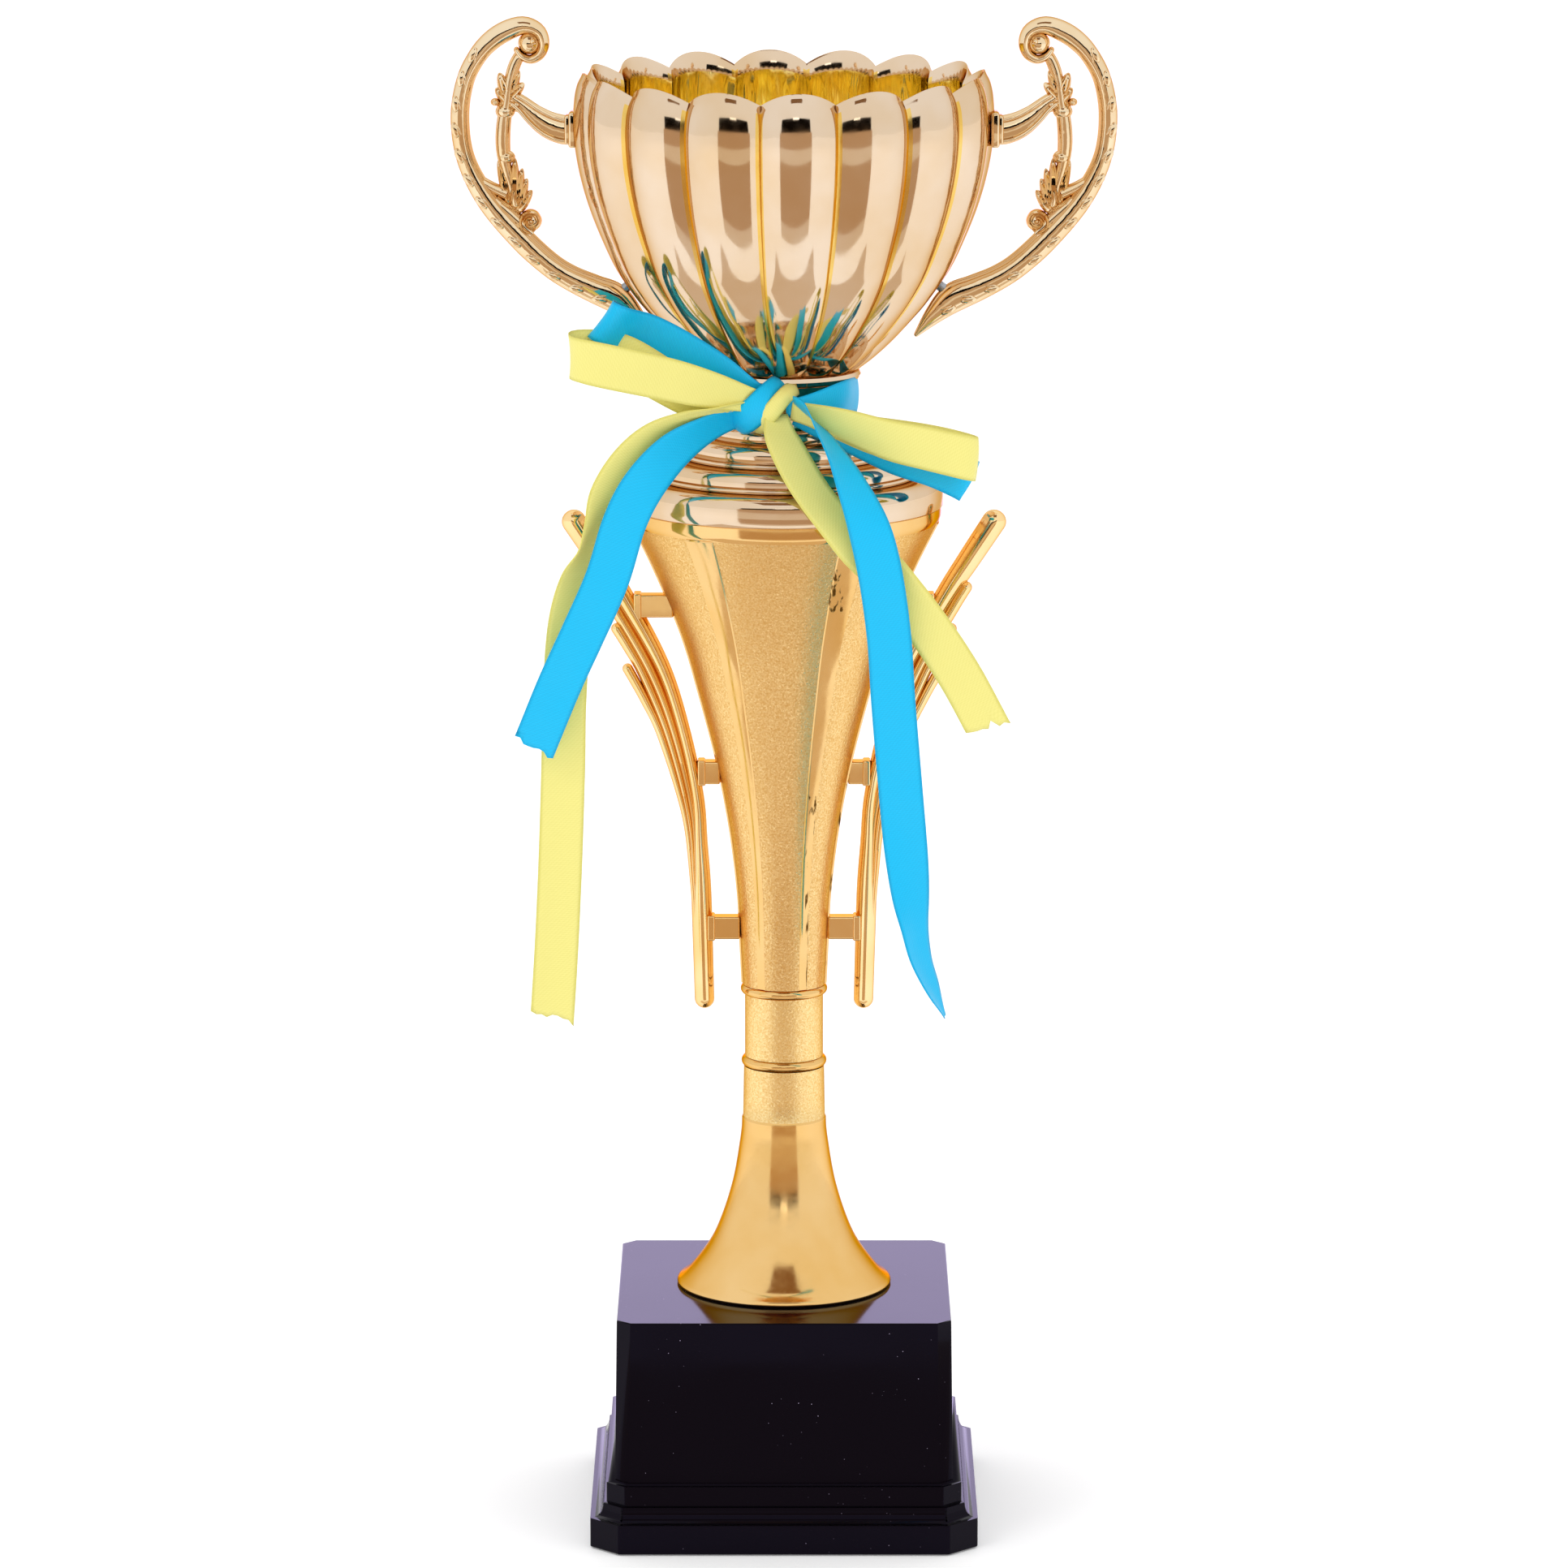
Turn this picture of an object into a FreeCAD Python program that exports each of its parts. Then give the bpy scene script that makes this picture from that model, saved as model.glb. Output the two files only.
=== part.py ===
import FreeCAD, Part
import math
import os

from FreeCAD import Vector

# Two-handled cup trophy: a fluted bowl on a tapering column with side wings, stacked on a black
# plinth and drawn together by one threaded rod.  Millimetres, +Z up, +X to the viewer's right,
# -Y to the viewer.  The origin is the middle of the plinth's underside.

# ---- driving dimensions -----------------------------------------------------------------------
WALL = 1.8                      # usual wall of the metallised mouldings
PLATE = 2.5                     # end plates that the rod passes through
ROD_R = 3.0                     # M6 threaded rod
ROD_HOLE_R = 3.3
NUT_FLATS = 10.0                # M6 hexagon nut
NUT_T = 5.0
WASHER_R = 9.0
WASHER_T = 1.5

PLINTH_TOP = 64.0
FOOT_HALF = 53.7                # half width of the plinth's foot
FOOT_TOP = 8.3
STEP_HALF = 49.2                # small step above the cove
STEP_BOTTOM = 12.4
STEP_TOP = 18.1
BLOCK_HALF_LOW = 46.8           # the block narrows a little towards its top
BLOCK_HALF_TOP = 46.2
FOOT_CORNER = 8.0               # corners are cut off at 45 degrees
STEP_CORNER = 5.2
BLOCK_CORNER = 3.8
PLINTH_WALL = 2.5
COVER_T = 2.4
COVER_HALF = 50.8

FOOT_TOP_Z = 126.6              # top of the trumpet foot, where the stack of rings starts
LOWER_BEAD_TOP = 129.5
COLLAR_TOP = 147.2
UPPER_BEAD_TOP = 150.0
CONE_TOP = 285.5
DOME_TIERS = (                  # radius, bottom height, radius of the rounded upper edge
    (44.0, 285.5, 3.2),
    (37.1, 293.7, 2.4),
    (28.7, 299.1, 2.2),
    (21.4, 304.9, 1.8),
)
DOME_TOP = 308.6
NECK_R = 17.0
FLANGE_R = 21.2
FLANGE_BOTTOM = 320.5
FLANGE_TOP = 323.4

PANELS = 6                      # frosted panels round the cone, with polished ribs between
FIRST_RIB = -33.0               # angle of one rib from the front
RIB_ANGLE = 12.0
RIB_PROUD = 0.4

LOBES = 16                      # convex flutes round the bowl
FIRST_LOBE = 4.25               # angle of one lobe's crest from the front
SEAM_SHARE = 0.94               # groove radius as a share of the crest radius
BOWL_FLOOR = 326.0
RIM_CREST = 405.0               # each lobe's top edge is an arch
RIM_ARCH_R = 16.0

HANDLE_T = 7.0                  # handles are flat mouldings, this thick front to back
SCREW_R = 1.4
SCREW_HEAD_R = 3.0
WING_T = 6.0
RIBBON_HALF = 6.0               # ribbons are 12 mm wide
RIBBON_T = 0.6

ORIGIN = Vector(0, 0, 0)
UP = Vector(0, 0, 1)
FRONT = Vector(0, -1, 0)


# ---- small helpers ------------------------------------------------------------------------------
def at(r, z):
    """A point of a turned outline."""
    return Vector(r, 0, z)


def line(*points):
    """Straight edges through the points."""
    return [Part.makeLine(a, b) for a, b in zip(points, points[1:])]


def spline(points):
    """One smooth edge through the points."""
    curve = Part.BSplineCurve()
    curve.interpolate(points)
    return curve.toShape()


def arc(start, middle, end):
    return Part.Arc(start, middle, end).toShape()


def face(edges):
    return Part.Face(Part.Wire(Part.__sortEdges__(edges)))


def turned(edges):
    """Solid of revolution about the trophy's axis."""
    return face(edges).revolve(ORIGIN, UP, 360)


def round_bar(bottom, top, radius=ROD_HOLE_R):
    """Upright cylinder on the axis, by default the size of the rod's clearance hole."""
    return Part.makeCylinder(radius, top - bottom, at(0, bottom))


def mirrored(shape):
    return shape.mirror(ORIGIN, Vector(1, 0, 0))


def about_axis(shape, degrees):
    """The shape turned about the trophy's axis, from the front towards the right."""
    copy = shape.copy()
    copy.rotate(ORIGIN, UP, degrees)
    return copy


def ball(radius, x, z):
    return Part.makeSphere(radius, Vector(x, 0, z))


def slab(outline, thickness):
    """A flat outline in the XZ plane, thickened equally to the front and the back."""
    return face(outline).translated(FRONT * (thickness / 2)).extrude(FRONT * -thickness)


def cut_corner_square(half, corner, z):
    """Square outline with its four corners cut off."""
    side = half - corner
    corners = []
    for quarter in range(4):
        turn = math.radians(90 * quarter)
        for x, y in ((half, -side), (half, side)):
            corners.append(Vector(x * math.cos(turn) - y * math.sin(turn),
                                  x * math.sin(turn) + y * math.cos(turn), z))
    return Part.makePolygon(corners + corners[:1])


def prism(half, corner, bottom, top):
    return Part.Face(cut_corner_square(half, corner, bottom)).extrude(UP * (top - bottom))


def washer(bottom):
    return Part.makeCylinder(WASHER_R, WASHER_T, at(0, bottom)).cut(round_bar(bottom, bottom + WASHER_T))


def hex_nut(bottom):
    corner_r = NUT_FLATS / math.sqrt(3)
    corners = [Vector(corner_r * math.cos(math.radians(60 * i)),
                      corner_r * math.sin(math.radians(60 * i)), bottom) for i in range(7)]
    body = Part.Face(Part.makePolygon(corners)).extrude(UP * NUT_T)
    return body.cut(round_bar(bottom, bottom + NUT_T, ROD_R))


# ---- plinth -------------------------------------------------------------------------------------
def plinth_outline():
    """Half width, corner cut and height up the plinth, with a hollow cove above the foot."""
    levels = [(FOOT_HALF, FOOT_CORNER, 0.0), (FOOT_HALF, FOOT_CORNER, FOOT_TOP)]
    cove_width = FOOT_HALF - 0.6 - STEP_HALF
    cove_height = STEP_BOTTOM - FOOT_TOP
    corner_change = FOOT_CORNER - STEP_CORNER
    for step in range(5):
        turn = math.radians(90 * step / 4)
        levels.append((STEP_HALF + cove_width * (1 - math.sin(turn)),
                       STEP_CORNER + corner_change * (1 - math.sin(turn)),
                       FOOT_TOP + 0.02 + cove_height * (1 - math.cos(turn))))
    levels.append((STEP_HALF, STEP_CORNER, STEP_TOP))
    levels.append((BLOCK_HALF_LOW, BLOCK_CORNER, STEP_TOP + 0.3))
    levels.append((BLOCK_HALF_TOP, BLOCK_CORNER, PLINTH_TOP))
    return levels


def plinth_shell():
    wires = [cut_corner_square(half, corner, z) for half, corner, z in plinth_outline()]
    body = Part.makeLoft(wires, True, True)
    room = prism(BLOCK_HALF_TOP - PLINTH_WALL, BLOCK_CORNER, COVER_T, PLINTH_TOP - PLINTH_WALL)
    seat = prism(COVER_HALF + 0.2, FOOT_CORNER, 0, COVER_T)
    return body.cut(room).cut(seat).cut(round_bar(PLINTH_TOP - PLINTH_WALL, PLINTH_TOP))


def plinth_weight():
    """Cast block that keeps the tall cup from tipping over."""
    return prism(38.0, BLOCK_CORNER, COVER_T, 36.0)


def bottom_cover():
    return prism(COVER_HALF, FOOT_CORNER, 0, COVER_T)


# ---- rod and its nuts ---------------------------------------------------------------------------
def rod_ends():
    """Height of the rod's two ends, past the nuts."""
    return PLINTH_TOP - PLINTH_WALL - WASHER_T - NUT_T - 6, BOWL_FLOOR + WASHER_T + NUT_T + 3


def tie_rod():
    bottom, top = rod_ends()
    rod = Part.makeCylinder(ROD_R, top - bottom, at(0, bottom))
    return rod.makeChamfer(0.6, [edge for edge in rod.Edges if edge.Closed])


# ---- column -------------------------------------------------------------------------------------
def stem_foot():
    """Trumpet foot: a hollow flared moulding with a plate at its top."""
    flare = [(30.0, 65.2), (26.0, 68.6), (19.6, 78.0), (14.7, 92.0), (12.2, 106.0), (11.2, FOOT_TOP_Z)]
    outer = spline([at(r, z) for r, z in flare])
    plate_z = FOOT_TOP_Z - PLATE
    inner = spline([at(r - WALL, z) for r, z in flare[:-1]] + [at(11.25 - WALL, plate_z)])
    edges = [outer, inner]
    edges += line(at(30, 65.2), at(30, PLINTH_TOP), at(30 - WALL, PLINTH_TOP), at(30 - WALL, 65.2))
    edges += line(at(11.2, FOOT_TOP_Z), at(ROD_HOLE_R, FOOT_TOP_Z), at(ROD_HOLE_R, plate_z),
                  at(11.25 - WALL, plate_z))
    return turned(edges)


def bead_ring(bottom, top, radius):
    """Ring with a half-round rim."""
    half = (top - bottom) / 2
    edges = line(at(radius - half, bottom), at(ROD_HOLE_R, bottom), at(ROD_HOLE_R, top),
                 at(radius - half, top))
    edges.append(arc(at(radius - half, top), at(radius, bottom + half), at(radius - half, bottom)))
    return turned(edges)


def collar():
    tube = Part.makeCylinder(10.9, COLLAR_TOP - LOWER_BEAD_TOP, at(0, LOWER_BEAD_TOP))
    return tube.cut(round_bar(LOWER_BEAD_TOP, COLLAR_TOP, 10.9 - WALL))


CONE_LINE = [(11.5, UPPER_BEAD_TOP), (12.8, 176.0), (15.0, 194.0), (18.5, 212.5), (23.2, 231.0),
             (28.4, 249.0), (36.0, 267.6), (42.6, 281.0)]


def cone_outer():
    """The cone's outside, as a filled solid, from its foot to the rim that carries the dome."""
    edges = [spline([at(r, z) for r, z in CONE_LINE])]
    edges += line(at(42.6, 281.0), at(43.4, 283.0), at(43.4, CONE_TOP), at(0, CONE_TOP),
                  at(0, UPPER_BEAD_TOP), at(11.5, UPPER_BEAD_TOP))
    return turned(edges)


def cone_rib(angle):
    """One polished rib, a little proud of the frosted panels."""
    rib_line = [point for point in CONE_LINE if point[1] > UPPER_BEAD_TOP]
    proud = [at(r + RIB_PROUD, z) for r, z in rib_line]
    buried = [at(r - WALL / 2, z) for r, z in rib_line]
    edges = [spline(proud), spline(buried)]
    edges += line(proud[0], buried[0]) + line(proud[-1], buried[-1])
    rib = face(edges).revolve(ORIGIN, UP, RIB_ANGLE)
    return about_axis(rib, angle - 90 - RIB_ANGLE / 2)


def ribbed_cone():
    """The filled cone with its six proud ribs."""
    body = cone_outer()
    for panel in range(PANELS):
        body = body.fuse(cone_rib(FIRST_RIB + panel * 360 / PANELS))
    return body


def cone_body():
    floor = UPPER_BEAD_TOP + PLATE
    line_in = [point for point in CONE_LINE if point[1] > floor]
    edges = [spline([at(11.6 - WALL, floor)] + [at(r - WALL, z) for r, z in line_in])]
    edges += line(at(42.6 - WALL, 281.0), at(43.4 - WALL, 283.0), at(43.4 - WALL, CONE_TOP),
                  at(0, CONE_TOP), at(0, floor), at(11.6 - WALL, floor))
    body = ribbed_cone().cut(turned(edges)).cut(round_bar(UPPER_BEAD_TOP, floor))
    for spigot in wing_spigots(WING_SPIGOT_R + 0.1):
        body = body.cut(spigot).cut(mirrored(spigot))
    return body


def stepped_dome():
    """Lid of four rounded steps that closes the cone."""
    tops = [tier[1] for tier in DOME_TIERS[1:]] + [DOME_TOP]
    body = None
    for (radius, bottom, rounding), top in zip(DOME_TIERS, tops):
        edges = line(at(0, bottom), at(radius, bottom), at(radius, top - rounding))
        middle = at(radius - rounding * (1 - math.sqrt(0.5)), top - rounding * (1 - math.sqrt(0.5)))
        edges.append(arc(at(radius, top - rounding), middle, at(radius - rounding, top)))
        edges += line(at(radius - rounding, top), at(0, top), at(0, bottom))
        tier = turned(edges)
        body = tier if body is None else body.fuse(tier)
    hollow = round_bar(CONE_TOP, 291.4, 41.0)
    for (radius, _, _), low, high in zip(DOME_TIERS[1:], (291.4, 296.8, 302.0), (296.8, 302.0, 306.0)):
        hollow = hollow.fuse(round_bar(low, high, radius - 2.6))
    return body.cut(hollow).cut(round_bar(CONE_TOP, DOME_TOP))


def neck_spool():
    """Short neck with the flange that the bowl sits on."""
    wall = 3.0
    neck = round_bar(DOME_TOP, FLANGE_BOTTOM, NECK_R).cut(round_bar(DOME_TOP, FLANGE_BOTTOM, NECK_R - wall))
    return neck.fuse(bead_ring(FLANGE_BOTTOM, FLANGE_TOP, FLANGE_R))


# ---- bowl ---------------------------------------------------------------------------------------
BOWL_LINE = [(21.0, FLANGE_TOP), (31.0, 332.0), (41.0, 343.3), (50.2, 359.5), (55.7, 375.6),
             (57.8, 391.0), (57.4, 398.0), (55.8, RIM_CREST + 0.5)]
# the room inside never narrows upwards, so that the moulding's core can be drawn out
ROOM_LINE = [(20.4, BOWL_FLOOR), (29.4, 333.0), (39.4, 344.3), (48.2, 360.5), (52.4, 376.6),
             (53.6, 391.0), (53.7, 399.5), (55.0, RIM_CREST + 1.5)]


def fluted_outline(crest, z):
    """One ring of convex arcs, each from groove to groove over its lobe's crest."""
    edges = []
    pitch = 360 / LOBES
    groove = crest * SEAM_SHARE
    for lobe in range(LOBES):
        points = []
        for angle, radius in ((-pitch / 2, groove), (0, crest), (pitch / 2, groove)):
            turn = math.radians(FIRST_LOBE + pitch * lobe + angle - 90)
            points.append(Vector(radius * math.cos(turn), radius * math.sin(turn), z))
        edges.append(arc(*points))
    return Part.Wire(edges)


def bowl_outer():
    return Part.makeLoft([fluted_outline(r, z) for r, z in BOWL_LINE], True, False)


def bowl_inner():
    """The room inside the bowl, from its floor to above the rim."""
    return Part.makeLoft([fluted_outline(r, z) for r, z in ROOM_LINE], True, False)


def rim_trim():
    """Ring above the bowl's wall whose underside follows the arched top of every lobe."""
    bottom, top = RIM_CREST - 8, RIM_CREST + 8
    trim = round_bar(bottom, top, 66).cut(round_bar(bottom, top, 40))
    arch = Part.makeCylinder(RIM_ARCH_R, 30, Vector(0, -38, RIM_CREST - RIM_ARCH_R), FRONT)
    for lobe in range(LOBES):
        trim = trim.cut(about_axis(arch, FIRST_LOBE + lobe * 360 / LOBES))
    return trim


def bowl():
    cup = bowl_outer().cut(bowl_inner()).cut(rim_trim()).cut(round_bar(FLANGE_TOP, BOWL_FLOOR))
    for screw in right_screws(SCREW_R + 0.2):
        cup = cup.cut(screw).cut(mirrored(screw))
    return cup


# ---- handles ------------------------------------------------------------------------------------
UPPER_SCREW = (Vector(52.6, 0, 390.0), Vector(1, 0, 0), 12.0)
LOWER_SCREW = (Vector(40.6, 0, 347.4), Vector(0.83, 0, -0.56).normalize(), 10.0)


def right_screws(shank_r, head=False):
    """Upper and lower screw of the right handle, driven outwards from inside the bowl."""
    screws = []
    for start, way, length in (UPPER_SCREW, LOWER_SCREW):
        screw = Part.makeCylinder(shank_r, length, start, way)
        if head:
            screw = screw.fuse(Part.makeCylinder(SCREW_HEAD_R, 2.0, start - way * 2.0, way))
        screws.append(screw)
    return screws


def scroll_band():
    """The long C-shaped outer scroll, from the curl at its top down to the free pointed tip."""
    outer = [(63.3, 411.5), (65.6, 417.6), (71.0, 420.0), (78.5, 418.0), (85.0, 411.6), (89.6, 403.0),
             (91.2, 392.0), (89.6, 379.5), (83.8, 368.0), (74.2, 356.0), (59.3, 344.2), (46.0, 337.4),
             (36.2, 331.4)]
    inner = [(35.2, 332.6), (40.0, 340.6), (45.4, 347.2), (53.5, 350.2), (62.4, 355.0), (69.4, 362.4),
             (76.5, 369.6), (82.4, 376.0), (85.3, 384.0), (86.0, 393.0), (84.6, 402.4), (80.6, 409.4),
             (76.6, 412.6), (72.4, 412.4)]
    edges = [spline([at(x, z) for x, z in outer]), spline([at(x, z) for x, z in inner])]
    edges += line(at(*outer[-1]), at(*inner[0])) + line(at(*inner[-1]), at(*outer[0]))
    return slab(edges, HANDLE_T)


def ellipsoid(x, z, long_r, short_r, lean):
    """Leaf-shaped swelling whose long axis leans from upright towards the outside."""
    ellipse = Part.Ellipse(ORIGIN, long_r, short_r)
    half = Part.Arc(ellipse, 0, math.pi).toShape()
    closing = Part.makeLine(Vector(-long_r, 0, 0), Vector(long_r, 0, 0))
    body = Part.Face(Part.Wire([half, closing])).revolve(ORIGIN, Vector(1, 0, 0), 360)
    body.rotate(ORIGIN, Vector(0, 1, 0), -90 + lean)
    return body.translated(at(x, z))


def handle():
    """Right handle: outer scroll, inner stem with two leaf clusters, volutes and the upper arm."""
    pieces = [ball(5.0, 68.0, 411.8)]
    pieces.append(Part.makeCylinder(2.3, 37.0, Vector(75.6, 0, 371), Vector(-0.02, 0, 1)))
    pieces.append(ellipsoid(71.9, 405.5, 5.5, 2.4, -25))
    pieces.append(ellipsoid(74.3, 400.0, 7.2, 3.7, 0))
    pieces.append(ellipsoid(73.8, 374.0, 8.0, 4.4, -8))
    pieces.append(Part.makeCylinder(3.7, HANDLE_T, Vector(68.7, HANDLE_T / 2, 365.0), FRONT))
    pieces.append(slab(line(at(75, 376), at(83, 378.5), at(84, 374), at(75, 370), at(75, 376)), HANDLE_T - 1))
    arm = [spline([at(56.0, 394.6), at(62.5, 395.6), at(68.0, 399.2), at(73.0, 404.5)]),
           spline([at(56.0, 385.4), at(61.0, 385.2), at(66.0, 388.6), at(73.5, 397.5)])]
    arm += line(at(56.0, 394.6), at(56.0, 385.4)) + line(at(73.0, 404.5), at(73.5, 397.5))
    pieces.append(slab(arm, HANDLE_T - 1))
    collar_plate = Part.makeBox(3.0, HANDLE_T + 1.6, 10.6, Vector(56.0, -HANDLE_T / 2 - 0.8, 384.6))
    pieces.append(collar_plate)
    body = scroll_band().multiFuse(pieces)
    body = body.cut(bowl_outer())
    for screw in right_screws(SCREW_R):
        body = body.cut(screw)
    return biggest(body)


def biggest(shape):
    """The largest solid of a cut, without loose slivers."""
    return max(shape.Solids, key=lambda solid: solid.Volume)


def handle_screws():
    right = right_screws(SCREW_R, head=True)
    return Part.makeCompound(right + [mirrored(screw) for screw in right])


# ---- wings --------------------------------------------------------------------------------------
WING_SPIGOT_R = 1.8
PEG_HEIGHT = 6.5
WING_PEGS = ((257.0, 29.0, 41.0), (210.0, 16.5, 25.0), (166.0, 11.0, 22.0))   # height, inner x, outer x


def wing_spigots(radius):
    """Round spigots on the ends of the pegs, through the cone's wall."""
    return [Part.makeCylinder(radius, 7.0, Vector(inner - 4.5, 0, z), Vector(1, 0, 0))
            for z, inner, _ in WING_PEGS]


def wing_outline():
    """Fan of four ribs: the tips step down the outside and all run into one rod below."""
    edges = [spline([at(19.4, 146), at(20.2, 175.7), at(21.3, 198.7), at(26.0, 221.6), at(31.6, 240),
                     at(41.0, 259.5), at(55.3, 282.2)])]
    edges.append(arc(at(55.3, 282.2), at(59.8, 283.3), at(60.9, 278.8)))
    edges += line(at(60.9, 278.8), at(50.4, 263.9))
    edges.append(arc(at(50.4, 263.9), at(52.4, 263.6), at(52.4, 261.2)))
    edges += line(at(52.4, 261.2), at(46.1, 251.8))
    edges.append(arc(at(46.1, 251.8), at(48.1, 251.5), at(47.9, 249.2)))
    edges += line(at(47.9, 249.2), at(43.0, 240.7))
    edges.append(arc(at(43.0, 240.7), at(44.9, 240.3), at(44.4, 238.2)))
    edges.append(spline([at(44.4, 238.2), at(35.4, 221.6), at(28.3, 198.7), at(25.9, 175.7),
                         at(24.8, 146)]))
    edges.append(arc(at(24.8, 146), at(22.1, 142.6), at(19.4, 146)))
    return edges


def wing(on_left=False):
    """One wing with its square pegs, cut to lie against the ribbed cone, and its spigots."""
    depth = WING_T - 1
    pegs = [Part.makeBox(outer - inner, depth, PEG_HEIGHT, Vector(inner, -depth / 2, z - PEG_HEIGHT / 2))
            for z, inner, outer in WING_PEGS]
    body = slab(wing_outline(), WING_T).multiFuse(pegs)
    spigots = wing_spigots(WING_SPIGOT_R)
    if on_left:
        body = mirrored(body)
        spigots = [mirrored(spigot) for spigot in spigots]
    return biggest(body.cut(ribbed_cone())).multiFuse(spigots)


# ---- ribbons ------------------------------------------------------------------------------------
# Each station is a point on the ribbon's middle line and the direction across its width.
YELLOW_ROUTES = (
    ((-10, -25, 316, 0.3, -1), (-19, -29, 314.5, 0.3, -1), (-32, -33, 311, 0.4, -0.9),
     (-42, -36, 302, 0.7, -0.7), (-48, -37, 292.5, 0.8, -0.6), (-51.5, -36, 285, 0.9, -0.4),
     (-56, -34, 273, 1, -0.3), (-59.5, -33, 252.5, 1, -0.1), (-60, -33, 218.5, 1, -0.1),
     (-62, -33, 173, 1, -0.1), (-64, -33, 147, 1, -0.1)),
    ((-4, -28.5, 312, 0.8, -0.6), (-1, -34, 308, 0.9, -0.4), (6.5, -41.5, 296.5, 0.9, -0.4),
     (16.5, -47, 285, 0.9, -0.5), (27.5, -47.5, 274, 0.85, -0.5), (38.5, -47, 259.5, 0.8, -0.55),
     (47.5, -46, 246, 0.8, -0.6), (55.5, -45, 231, 0.8, -0.6)),
    ((-10, -27, 318.6, 0, -1), (-19, -32, 321.6, 0, -1), (-30, -37, 325.2, 0, -1),
     (-43, -41, 328.4, 0, -1), (-53, -41.5, 330.8, 0, -1), (-57.5, -37.5, 331.6, 0, -1),
     (-56, -33, 332, 0, -1), (-50, -31.5, 331.5, 0, -1), (-36.6, -31.5, 328.5, 0, -1),
     (-22, -27, 323, 0, -1)),
    ((5.5, -27.5, 314, 0, -1), (16.5, -33, 312, 0, -1), (27.5, -38, 309, 0, -1),
     (38.5, -41, 307, 0, -1), (48.5, -41.5, 305, 0, -1), (52, -38, 303.5, 0, -1),
     (49, -35.5, 304.5, 0, -1), (38.5, -35, 307, 0, -1), (27, -33, 309, 0, -1)),
)
BLUE_ROUTES = (
    ((-10, -23.5, 314, 0.3, -1), (-21, -27, 311, 0.3, -1), (-33.5, -36, 302.5, 0.6, -0.8),
     (-40, -40, 294, 0.8, -0.6), (-43.6, -41, 286.5, 0.9, -0.4), (-48, -41.5, 271.5, 1, -0.3),
     (-55, -41.5, 256, 0.95, -0.3), (-61, -41, 242.5, 0.9, -0.35), (-68.5, -40, 223, 0.9, -0.3)),
    ((4, -30, 317, 0.6, -0.8), (10, -35.5, 311.5, 0.6, -0.8), (16.5, -43, 300.5, 0.8, -0.6),
     (22.5, -49.5, 288, 0.9, -0.3), (26, -51, 275.5, 1, -0.2), (28.5, -51, 257.5, 1, -0.1),
     (29.5, -50.5, 239.5, 1, 0), (31.5, -50, 219, 1, 0), (33, -49.5, 198.5, 1, 0),
     (36.5, -48.5, 176, 1, 0.15), (42.5, -48, 149.5, 1, 0.3)),
    ((-11, -25, 321, 0.4, -0.9), (-17, -28, 327, 0.5, -0.85), (-25.5, -29, 332.5, 0.5, -0.85),
     (-36.5, -28.5, 338.5, 0.3, -0.95), (-45, -28, 341, 0.1, -1), (-49, -24.5, 337, 0, -1),
     (-45.5, -21.5, 330, 0.15, -1), (-31, -21, 321, 0.3, -0.95)),
    ((5.5, -24, 312.5, 0, -1), (17.5, -26, 309, 0, -1), (30, -29, 304, 0, -1),
     (41, -31, 301, -0.2, -1), (49, -30.5, 297, -0.4, -0.9), (50.5, -27.5, 296, -0.4, -0.9),
     (41, -25.5, 300, -0.2, -1)),
)


def ribbon_strip(stations):
    """Thin closed strip through its stations, square to its own run at every one."""
    centres = [Vector(x, y, z) for x, y, z, _, _ in stations]
    sections = []
    for i, (_, _, _, wide_x, wide_z) in enumerate(stations):
        run = (centres[min(i + 1, len(centres) - 1)] - centres[max(i - 1, 0)]).normalize()
        wide = Vector(wide_x, 0, wide_z).normalize()
        thick = run.cross(wide).normalize()
        across = wide * RIBBON_HALF
        through = thick * (RIBBON_T / 2)
        corners = [centres[i] + across + through, centres[i] - across + through,
                   centres[i] - across - through, centres[i] + across - through]
        sections.append(Part.makePolygon(corners + corners[:1]))
    return Part.makeLoft(sections, True, True)


def neck_wrap(inner_r):
    """The turn of ribbon round the neck."""
    wrap = Part.makeCylinder(inner_r + 0.8, 10.5, at(0, 309.3))
    return wrap.cut(round_bar(309.3, 319.8, inner_r))


def ribbon_blue():
    knot = Part.makeBox(6.0, 8.0, 9.0, Vector(-9.5, -28.0, 311.0))
    return Part.makeCompound([ribbon_strip(route) for route in BLUE_ROUTES] + [knot, neck_wrap(18.5)])


def ribbon_yellow():
    knot = Part.makeBox(5.0, 8.0, 9.0, Vector(-3.2, -28.0, 312.0))
    return Part.makeCompound([ribbon_strip(route) for route in YELLOW_ROUTES] + [knot, neck_wrap(17.3)])


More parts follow.
